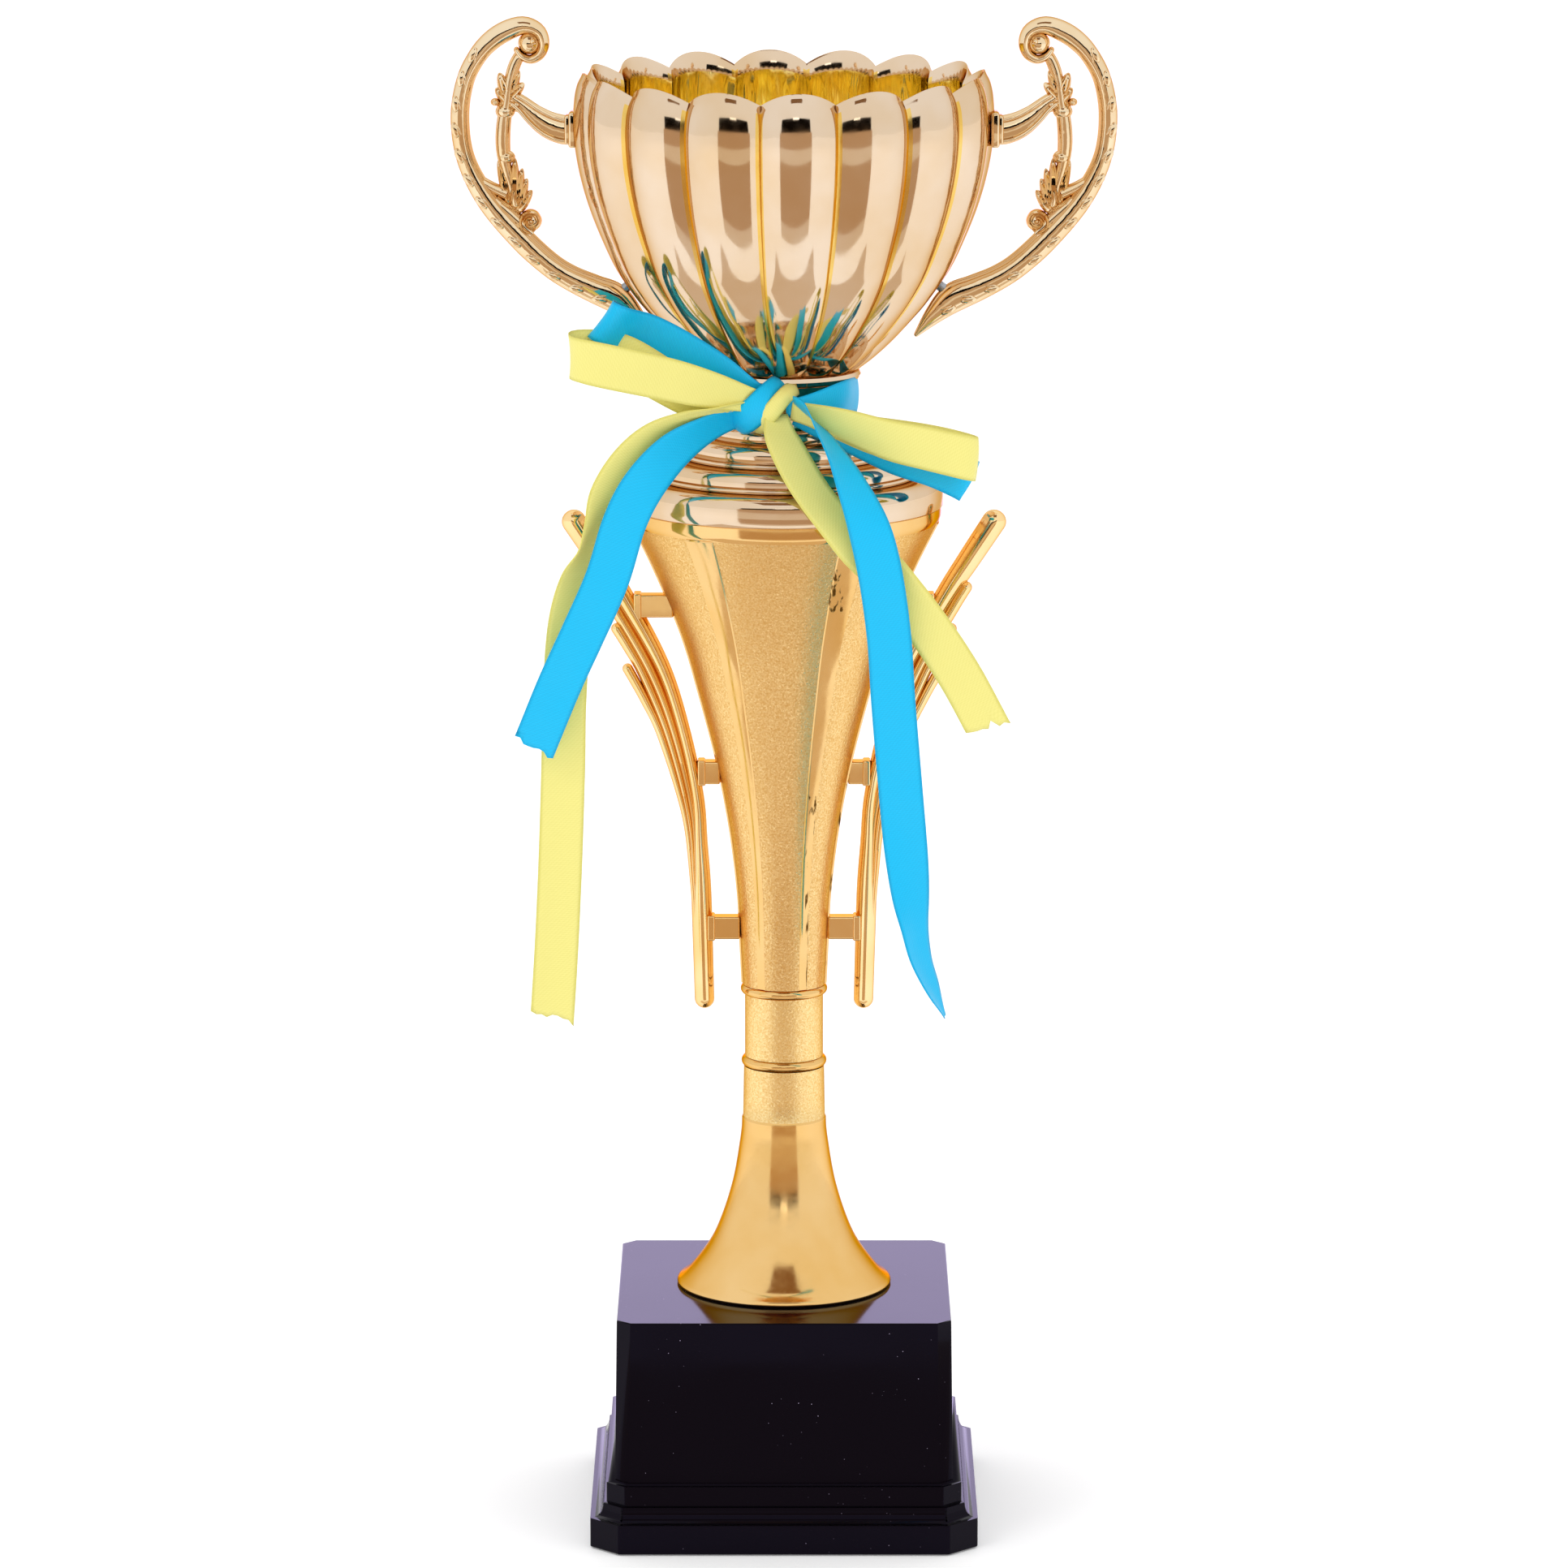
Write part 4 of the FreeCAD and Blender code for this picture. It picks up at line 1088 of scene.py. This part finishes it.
    def build(self) -> None:
        """Makes the handle from its bars, leaves, beads and collar."""
        shape = Shape(self.side)
        shape.bar(list(self.scroll), Section.BAND, rings=150, sides=20, blunt=(True, True))
        shape.bar(list(self.stem), Section.ROUND, rings=48, sides=16, blunt=(True, True))
        shape.bar(list(self.arm), Section.BAND, rings=32, sides=20, blunt=(False, False))
        for web in self.webs:
            shape.bar(list(web), Section.BAND, rings=20, sides=16, blunt=(False, False))
        self.arm_borders(shape)
        shape.bead(69.5, 412.7, (3.1, 3.5, 3.1))
        shape.bead(68.6, 413.4, (1.3, 3.9, 1.3))
        for base, tip, width, depth in self.stars + self.fan:
            shape.leaf(base, tip, width, depth)
        for x, z, radius in self.knobs:
            shape.bead(x, z, (radius, 2.9, radius * 0.8))
        self.volute(shape)
        self.crescents(shape)
        shape.block((56.6, -4.2, 384.4), (58.9, 4.2, 394.0), 0.7)
        shape.block((56.9, -3.6, 385.2), (60.0, 3.6, 393.1), 0.6)
        name = "handle_right" if self.side > 0 else "handle_left"
        shape.finish(f"scroll_{name}", [Stuff.CAST], name, sharp=45)

    def arm_borders(self, shape: Shape) -> None:
        """Raised lines that frame the upper arm's sunk panel, on the front and on the back.

        Args:
            shape: The handle's mesh.
        """
        route = Route(list(self.arm))
        for edge in (-0.36, 0.36):
            for face in (-1, 1):
                line = []
                for i in range(7):
                    distance = 0.3 + i * (route.length - 0.6) / 6
                    x, z, width, _ = route.at(distance)
                    run = route.run(distance)
                    line.append((x + run.y * width * edge, z - run.x * width * edge, 1.1, 1.5))
                shape.bar(line, Section.ROUND, y=face * 2.35, rings=24, sides=10, blunt=(True, True))


# ---- wings --------------------------------------------------------------------------------------
@dataclass
class Wing:
    """Fan of four round-tipped ribs running into one rod, with three square pegs to the cone."""

    side: int = 1
    ribs: tuple = (((22.1, 142.8, 5.5, 5.6), (22.3, 150.0, 5.5, 5.6), (23.0, 175.7, 5.6, 5.8),
                    (23.5, 190.0, 4.6, 5.8), (24.2, 203.0, 4.0, 5.8), (27.8, 221.0, 4.0, 6.0),
                    (33.6, 239.4, 4.5, 6.0), (43.5, 257.9, 5.6, 6.0), (51.2, 270.0, 6.4, 6.0),
                    (59.8, 283.2, 6.8, 6.0)),
                   ((24.0, 168.0, 1.6, 4.6), (24.4, 180.0, 1.8, 4.8), (25.4, 198.2, 2.0, 5.0),
                    (30.4, 220.5, 2.5, 5.2), (36.8, 238.0, 2.9, 5.2), (46.8, 256.1, 3.3, 5.2),
                    (51.2, 263.4, 3.4, 5.2)),
                   ((24.4, 168.0, 1.4, 4.0), (25.0, 180.0, 1.6, 4.2), (26.6, 198.0, 1.9, 4.4),
                    (32.1, 220.1, 2.4, 4.6), (38.9, 237.2, 2.8, 4.6), (43.6, 246.0, 3.1, 4.6),
                    (47.1, 251.7, 3.2, 4.6)),
                   ((24.8, 168.0, 1.2, 3.2), (25.6, 180.0, 1.4, 3.4), (27.6, 197.9, 1.8, 3.6),
                    (33.9, 219.7, 2.3, 3.8), (38.6, 230.4, 2.7, 3.8), (44.0, 240.4, 3.0, 3.8)))
    pegs: tuple = ((257.0, 30.6, 41.0), (210.0, 17.8, 23.4), (166.0, 12.3, 20.8))
    peg_height: float = 6.4
    peg_depth: float = 5.0

    def build(self) -> None:
        """Sweeps the ribs and sets the pegs with their small shoulders."""
        shape = Shape(self.side)
        for rib in self.ribs:
            shape.bar(list(rib), Section.KEEL, rings=90, sides=18, blunt=(True, True))
        for z, inner, outer in self.pegs:
            half, deep = self.peg_height / 2, self.peg_depth / 2
            shape.block((inner, -deep, z - half), (outer, deep, z + half), 0.5)
            shape.block((outer - 1.6, -deep - 0.3, z - half - 0.4),
                        (outer + 0.6, deep + 0.3, z + half + 0.4), 0.5)
        name = "wing_right" if self.side > 0 else "wing_left"
        # the wings take the lighter copy of the warm plating, with painted light
        shape.finish(f"fan_{name}", [Stuff.FAN], name, sharp=45, flat_faced=True)


# ---- ribbons ------------------------------------------------------------------------------------
@dataclass
class Strip:
    """One stretch of ribbon: stations of x, y, z, the direction across it, and its half width."""

    stations: tuple
    full_half: float = 6.0          # half the ribbon's width where it lies flat
    cut: float = 0.0                # raggedness of the free end, in millimetres
    camber: float = 0.5             # how far the edges curl back
    seed: int = 1

    def length(self) -> float:
        """Length along the middle line."""
        return Route(list(self.stations), axes=3).length

    def add(self, bm: bmesh.types.BMesh, uv: bmesh.types.BMLayerItem, start: float) -> None:
        """Bends a flat grid along the stretch.

        Args:
            bm: The ribbon's mesh.
            uv: Its map, in metres along and across the ribbon.
            start: Where the stretch begins along the whole ribbon, in metres.
        """
        route = Route(list(self.stations), axes=3)
        whole = route.length
        rings = max(12, int(whole / 1.6))
        made = bmesh.ops.create_grid(bm, x_segments=rings, y_segments=8, size=0.5)["verts"]
        rng = random.Random(self.seed)
        jags = [rng.uniform(-1, 1) for _ in range(12)]
        flat = {vert: (vert.co.x + 0.5, vert.co.y * 2) for vert in made}
        for vert, (share, aside) in flat.items():
            here = route.at(share * whole)
            run = route.run(share * whole, axes=3, reach=1.5)
            wide = Vector(here[3:6])
            wide = (wide - run * wide.dot(run)).normalized()
            facing = run.cross(wide).normalized()
            half = here[6]
            ripple = 0.35 * noise.noise(Vector((share * whole / 11, aside * 0.7, self.seed * 3.1)))
            vert.co = (Vector(here[:3]) + wide * half * aside
                       + facing * (self.camber * (aside * aside - 0.4) + ripple))
            if self.cut and share > 0.985:
                jag = jags[int((aside + 1) * 5.49)]
                vert.co += run * self.cut * (0.5 * jag + 0.6 * aside)
        for face in {face for vert in made for face in vert.link_faces}:
            for loop in face.loops:
                share, aside = flat[loop.vert]
                loop[uv].uv = (start + share * whole * MM, aside * self.full_half * MM)


@dataclass
class Ribbon:
    """A satin ribbon: its turn round the neck, its part of the knot, two loops and two tails."""

    name: str
    stuff: Stuff
    slot: str
    strips: list[Strip]
    thickness: float = 0.28

    def build(self) -> None:
        bm = bmesh.new()
        uv = bm.loops.layers.uv.new("ribbon")
        gone = 0.0
        for strip in self.strips:
            strip.add(bm, uv, gone)
            gone += strip.length() * MM
        bmesh.ops.transform(bm, matrix=Matrix.Scale(MM, 4), verts=bm.verts)
        piece = placed(bm, self.name, [self.stuff.material()])
        shell = piece.modifiers.new("thickness", "SOLIDIFY")
        shell.thickness = self.thickness * MM
        shell.offset = 0.0
        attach(piece, BODY)
        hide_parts(self.name.replace("satin", "ribbon"))
        LOG.info("%s: %.0f mm of ribbon", self.name, gone / MM)


def neck_turn(radius: float, z: float, half: float, sweep: float = 275) -> tuple:
    """A turn round the neck, from behind the knot by the left and the back to the right side.

    Args:
        radius: The turn's radius.
        z: Its height.
        half: Half the ribbon's width there.
        sweep: How far round it goes, in degrees.

    Returns:
        Stations for a strip.
    """
    stations = []
    for i in range(25):
        angle = math.radians(15 + sweep * i / 24)
        wave = 0.5 * math.sin(3 * angle)
        stations.append((-radius * math.sin(angle), -radius * math.cos(angle), z + wave, 0.0, 0.0, 1.0, half))
    return tuple(stations)


YELLOW_STRIPS = [
    Strip(neck_turn(17.7, 314.6, 4.6), camber=0.1),
    # knot strap, lower left to upper right over the blue one
    Strip(((-9, -19.5, 309.5, 0.7, 0, -0.7, 2.2), (-8.2, -24.5, 309.9, 0.7, 0, -0.7, 2.3),
           (-6.4, -28.6, 312.0, 0.7, -0.1, -0.7, 2.4), (-3.4, -30.0, 315.6, 0.7, -0.1, -0.7, 2.4),
           (0.0, -28.4, 319.4, 0.7, 0, -0.7, 2.3), (2.4, -23.6, 321.0, 0.7, 0.1, -0.7, 2.2),
           (3.0, -19.6, 320.6, 0.7, 0.1, -0.7, 2.0)), camber=0.9),
    # left loop, out along the front and back behind
    Strip(((-4, -26.0, 317.4, 0, 0.1, -1, 2.6), (-9.5, -27.6, 318.6, 0, 0.1, -1, 3.4),
           (-19, -32, 321.6, 0, 0.15, -1, 5.0), (-30, -37, 325.2, 0.05, 0.1, -1, 5.8),
           (-43, -41, 328.6, 0.06, 0, -1, 6), (-53, -41.8, 330.9, 0.06, 0, -1, 6),
           (-57.6, -37.8, 331.7, 0.03, 0, -1, 6), (-56.2, -33.2, 332.4, 0, -0.1, -1, 6),
           (-50, -31.8, 332.2, 0, -0.1, -1, 6), (-43, -31.6, 330.6, 0, 0, -1, 6),
           (-33, -31.0, 324.4, 0, 0, -1, 6), (-22, -28, 317.6, 0, 0, -1, 5),
           (-11, -23.5, 314.5, 0, 0, -1, 3.2))),
    # right loop, drooping
    Strip(((2, -26.6, 315.2, 0, 0.1, -1, 2.6), (6.5, -27.8, 314.4, 0, 0.1, -1, 3.2),
           (16.5, -33, 312.2, 0, 0.2, -1, 4.8), (27.5, -38, 309.2, 0, 0.2, -1, 5.8),
           (38.5, -41, 307.2, -0.04, 0.1, -1, 6), (48.5, -41.6, 305.0, -0.06, 0, -1, 6),
           (52.4, -38, 303.8, -0.06, 0, -1, 6), (49, -35.2, 304.6, -0.06, 0, -1, 6),
           (38.5, -34.6, 307, 0, 0, -1, 6), (24, -31, 309.4, 0, 0, -1, 5.2),
           (10, -24, 312.6, 0, 0, -1, 3.2))),
    # left tail: arcs out, twists once and hangs behind the blue one
    Strip(((-5, -25.4, 315.6, 0.2, 0.5, -1, 2.6), (-11, -26.5, 315.8, 0.2, 0.8, -0.8, 3.2),
           (-19, -29.5, 314.6, 0.25, 0.9, -0.6, 4.4), (-27, -32, 312.6, 0.4, 0.8, -0.6, 5.6),
           (-35, -34, 308.6, 0.6, 0.5, -0.65, 6), (-42, -35.8, 302, 0.75, 0.35, -0.6, 6),
           (-47, -36.6, 294, 0.85, 0.3, -0.4, 6), (-50.6, -36.4, 286, 0.6, 0.8, -0.2, 6),
           (-53.4, -35.4, 279, 0.4, 0.9, -0.1, 6), (-56, -34.6, 270, 0.85, 0.5, -0.1, 6),
           (-58.6, -34, 256, 1, 0.1, -0.1, 6), (-60, -33.4, 236, 1, 0, -0.06, 6),
           (-60.4, -33, 218, 1, 0, -0.04, 6), (-61.4, -33, 190, 1, 0.04, -0.05, 6),
           (-62.6, -33, 166, 1, 0.04, -0.05, 6), (-63.8, -33, 147.5, 1, 0, -0.05, 6)), cut=1.8, seed=3),
    # right tail: over the dome, under the blue one and out to the right
    Strip(((-2, -27.4, 314.8, 0.9, 0, -0.45, 3.0), (-1.6, -30.4, 311.6, 0.9, 0, -0.4, 4.2),
           (0.2, -34.4, 307.2, 0.92, 0.1, -0.35, 5.4), (6.5, -41.5, 296.6, 0.92, 0.1, -0.4, 6),
           (16.5, -46.6, 285, 0.88, 0, -0.5, 6), (27.5, -47.4, 274, 0.84, 0, -0.54, 6),
           (38.5, -47, 259.8, 0.82, 0.05, -0.56, 6), (47.5, -46, 246, 0.82, 0.1, -0.56, 6),
           (55.2, -45, 231.6, 0.84, 0.1, -0.54, 6)), cut=2.4, seed=5),
]
BLUE_STRIPS = [
    Strip(neck_turn(19.0, 315.4, 4.9), camber=0.2),
    # knot strap
    Strip(((-14.4, -17.5, 311.6, 0.66, 0, -0.75, 3.6), (-14, -22.5, 310.8, 0.66, 0, -0.75, 3.8),
           (-11.8, -27.2, 312.4, 0.66, -0.1, -0.75, 4.0), (-8.0, -29.4, 315.6, 0.66, -0.1, -0.75, 4.0),
           (-4.2, -28.2, 319.2, 0.66, 0, -0.75, 3.9), (-1.2, -24.0, 321.4, 0.66, 0.1, -0.75, 3.6),
           (0.2, -19.6, 321.4, 0.66, 0.1, -0.75, 3.4)), camber=0.8),
    # left loop: rises behind the yellow one, folds over it at the top and comes back
    Strip(((-4, -24.6, 318.2, -0.2, 0, -1, 2.6), (-10, -25.2, 320.8, -0.4, 0, -0.9, 3.6),
           (-18, -27.2, 326.0, -0.45, 0, -0.88, 5.0), (-27, -28.4, 331.2, -0.45, 0, -0.88, 5.8),
           (-36, -28.4, 335.8, -0.45, 0, -0.88, 6), (-41, -30.2, 337.8, -0.5, 0, -0.86, 6),
           (-45.4, -34.4, 339.6, -0.55, 0, -0.83, 6), (-48.4, -34.8, 340.8, -0.57, 0, -0.82, 6),
           (-49.4, -30.8, 341.2, -0.57, 0, -0.82, 6), (-46, -25.0, 338.4, -0.5, 0, -0.86, 6),
           (-36, -21.8, 331.0, -0.45, 0, -0.88, 5.6), (-24, -21.4, 322.0, -0.4, 0, -0.9, 4.6),
           (-13, -21, 315.6, 0.0, 0, -1, 3.2))),
    # fold beside the knot, opening to the right and round the neck's side
    Strip(((0.5, -26.4, 316.0, 0, 0, -1, 2.2), (5.5, -25.8, 316.4, 0, 0, -1, 2.8),
           (11.5, -23.8, 317.2, -0.05, 0, -1, 3.9), (17.2, -18.6, 318.0, -0.1, 0, -1, 4.8),
           (20.2, -4.0, 316.4, 0, 0, -1, 4.8)), camber=0.6),
    # right loop, under the yellow one
    Strip(((3, -24.6, 313.6, 0, 0.1, -1, 2.6), (9, -25.0, 311.4, 0, 0.1, -1, 3.6),
           (18, -26.6, 308.6, 0, 0.1, -1, 5.0), (30, -29, 304, -0.1, 0.1, -1, 5.8),
           (41, -31, 301, -0.2, 0, -1, 6), (48.6, -31, 297.6, -0.36, 0, -0.93, 6),
           (50.4, -28.2, 296.2, -0.4, 0, -0.9, 6), (44, -25.6, 299.4, -0.2, 0, -1, 6),
           (30, -24.6, 305, -0.1, 0, -1, 5.4), (15, -22.6, 311, 0, 0, -1, 3.6))),
    # left tail: falls in front of the yellow one
    Strip(((-6, -24.2, 313.4, 0.3, 0.4, -1, 2.6), (-13, -25.4, 313.2, 0.3, 0.6, -0.9, 3.4),
           (-22, -29.5, 310.2, 0.4, 0.6, -0.8, 4.8), (-31, -34.6, 304.6, 0.6, 0.4, -0.7, 5.8),
           (-38.4, -38.4, 296.2, 0.82, 0.2, -0.5, 6), (-43.4, -40.4, 286.4, 0.94, 0.1, -0.35, 6),
           (-48, -41.3, 271.5, 0.97, 0, -0.3, 6), (-54.8, -41.3, 256, 0.94, 0, -0.36, 6),
           (-61, -40.8, 242.4, 0.92, 0.05, -0.4, 6), (-68.4, -40, 224.2, 0.93, 0.05, -0.36, 6)),
          cut=2.2, seed=7),
    # right tail: over the yellow one and down the front, curling in at its tip
    Strip(((3, -26.8, 317.4, 0.6, 0, -0.8, 2.8), (6.4, -30.4, 315.4, 0.6, 0, -0.8, 3.8),
           (10.6, -35.4, 310.6, 0.66, 0.2, -0.7, 4.8), (16.8, -43, 300.6, 0.78, 0.2, -0.56, 5.4),
           (22.4, -49, 288.2, 0.93, 0.1, -0.36, 5.8), (25.8, -50.8, 275.5, 0.98, 0, -0.2, 6),
           (28.4, -51, 257.5, 0.99, 0, -0.12, 6), (29.6, -50.6, 239.5, 1, 0, -0.04, 6),
           (31.3, -50, 219, 1, 0.05, 0, 6), (33.1, -49.4, 198.5, 0.98, 0.2, 0.04, 6),
           (35.4, -48.8, 177, 0.62, 0.77, 0.12, 6), (37.4, -48.4, 167, 0.42, 0.9, 0.14, 5.8),
           (40.6, -48, 158.5, 0.3, 0.94, 0.16, 4.8), (43.8, -47.6, 151, 0.1, 1, 0.1, 1.6))),
]


# ---- carried-over pieces and studio -------------------------------------------------------------
def dress_cad_nodes() -> None:
    """Gives the pieces that stay as they were designed their finishes."""
    finishes = {"tie_rod": Stuff.ZINC, "lower_washer": Stuff.ZINC, "lower_nut": Stuff.ZINC,
                "bowl_washer": Stuff.ZINC, "bowl_nut": Stuff.ZINC, "handle_screws": Stuff.ZINC,
                "plinth_weight": Stuff.PLASTER, "bottom_cover": Stuff.BOARD}
    for node, stuff in finishes.items():
        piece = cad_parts[node]
        if not piece.material_slots:
            piece.data.materials.append(None)
        for slot in piece.material_slots:
            slot.material = stuff.material()
        LOG.info("%s keeps its shape", node)


@dataclass
class Studio:
    """Pale floor, white surround, soft lights, and the cards that the mirrors see."""

    lens: float = 189.6
    distance: float = 2.294
    elevation: float = 11.3
    look_at: float = 0.2065
    room_angle: float = 33.0        # half the angle over which the darker room shows between white screens
    floor_half: float = 6.0
    floor_gap: float = 0.0004

    def card(self, name: str, corners: list[Numbers], colour: str, strength: float) -> None:
        """A glowing card seen only in reflections.

        Args:
            name: The card's name.
            corners: Its corners in metres.
            colour: Its light's colour.
            strength: Its light's strength.
        """
        bm = bmesh.new()
        bm.faces.new([bm.verts.new(corner) for corner in corners])
        card = placed(bm, name, [Glow(name, colour, strength).build()])
        card.visible_camera = False
        card.visible_diffuse = False
        card.visible_shadow = False
        card.visible_transmission = False

    def upright(self, name: str, half: float, y: float, low: float, high: float, colour: str,
                strength: float = 1.0) -> None:
        """An upright card across the front, half its width to each side, from one height to another."""
        corners = [(-half, y, low), (half, y, low), (half, y, high), (-half, y, high)]
        self.card(name, corners, colour, strength)

    def lying(self, name: str, halves: tuple[float, float], ys: tuple[float, float], z: float,
              colour: str) -> None:
        """A level card, in metres.

        Args:
            name: The card's name.
            halves: Half its width at its first and its second edge.
            ys: The two edges' places, towards the back.
            z: Its height.
            colour: Its light's colour.
        """
        (half, far_half), (y, far_y) = halves, ys
        corners = [(-half, y, z), (half, y, z), (far_half, far_y, z), (-far_half, far_y, z)]
        self.card(name, corners, colour, 1.0)

    def room(self) -> None:
        """What the trophy faces: the dim room before its white table, a camera stand, a lamp and screens."""
        edge, near, far, wall_middle, wall_top = -0.36, -0.44, -1.25, 0.17, 0.395
        spread = math.tan(math.radians(self.room_angle))
        self.lying("room_edge", (-edge * spread, -near * spread), (edge, near), 0.002, "#E6D6C4")
        self.lying("room_floor", (-near * spread, -far * spread), (near, far), 0.002, "#C8A98A")
        self.upright("room_wainscot", -far * spread, far, 0.002, wall_middle, "#EADBC8")
        self.upright("room_wall", -far * spread, far, wall_middle, wall_top, "#C8A98A")
        self.upright("camera_stand", 1.32, -2.2, 0.36, 0.82, "#0B0705")
        self.upright("lamp", 0.26, -2.19, 0.75, 0.86, "#FFFFFF", 2.0)
        self.lying("ceiling", (0.35, 0.35), (-0.35, -1.1), 1.5, "#8C6A4C")
        self.upright("back_screen", 0.4, 1.2, 0.0, 0.52, "#E0D2FF", 2.5)
        self.lying("table_shade", (0.3, 0.3), (-0.08, -0.26), 0.0005, "#E4D2BE")

    def light(self, name: str, place: Numbers, target: Numbers, size: float, watts: float) -> None:
        """A square soft light.

        Args:
            name: The light's name.
            place: Where it stands, in metres.
            target: What it points at.
            size: Its width.
            watts: Its power.
        """
        lamp = bpy.data.lights.new(name, "AREA")
        lamp.size = size
        lamp.energy = watts
        holder = bpy.data.objects.new(name, lamp)
        holder.location = place
        holder.visible_glossy = False
        holder.rotation_euler = (Vector(target) - Vector(place)).to_track_quat("-Z", "Y").to_euler()
        bpy.context.scene.collection.objects.link(holder)

    def surround(self) -> None:
        """The white floor, a hair below the plinth, and the white world."""
        bm = bmesh.new()
        bmesh.ops.create_grid(bm, x_segments=4, y_segments=4, size=self.floor_half,
                              matrix=Matrix.Translation((0, 0, -self.floor_gap)))
        floor = placed(bm, "floor", [LitAcrylic("lit_white_acrylic", "#FFFFFF", "#FCFCFD").build()])
        world = bpy.data.worlds.new("surround")
        world.use_nodes = True
        world.node_tree.nodes["Background"].inputs["Color"].default_value = (1.0, 1.0, 1.0, 1.0)
        world.node_tree.nodes["Background"].inputs["Strength"].default_value = 1.0
        bpy.context.scene.world = world

    def camera(self) -> None:
        """A long lens, level across and tilted down a little."""
        camera_data = bpy.data.cameras.new("camera")
        camera_data.lens = self.lens
        camera_data.sensor_width = 36.0
        camera_data.clip_end = 50.0
        camera = bpy.data.objects.new("camera", camera_data)
        tilt = math.radians(self.elevation)
        camera.location = (0, -self.distance * math.cos(tilt), self.look_at + self.distance * math.sin(tilt))
        camera.rotation_euler = (math.radians(90) - tilt, 0, 0)
        bpy.context.scene.collection.objects.link(camera)
        bpy.context.scene.camera = camera

    def build(self) -> None:
        """Sets the floor, the cards, the lights and the camera."""
        self.surround()
        self.room()
        self.light("key", (-1.5, -1.4, 1.9), (0, 0, 0.25), 0.9, 7.0)
        self.light("fill", (1.7, -1.2, 1.4), (0, 0, 0.25), 1.2, 3.0)
        self.camera()
        bpy.context.scene.view_settings.view_transform = "Standard"


def main() -> None:
    """Builds the studio, then the trophy from the plinth up."""
    logging.basicConfig(level=logging.INFO, format="%(message)s")
    Studio().build()
    for part in (Plinth(), Column(), Cone(), Dome(), Bowl(), Handle(1), Handle(-1), Wing(1), Wing(-1)):
        part.build()
        LOG.info("built %s", type(part).__name__)
    Ribbon("satin_yellow", Stuff.YELLOW, "yellow_ribbon", YELLOW_STRIPS).build()
    Ribbon("satin_blue", Stuff.BLUE, "blue_ribbon", BLUE_STRIPS).build()
    dress_cad_nodes()


if __name__ == "__main__":
    main()
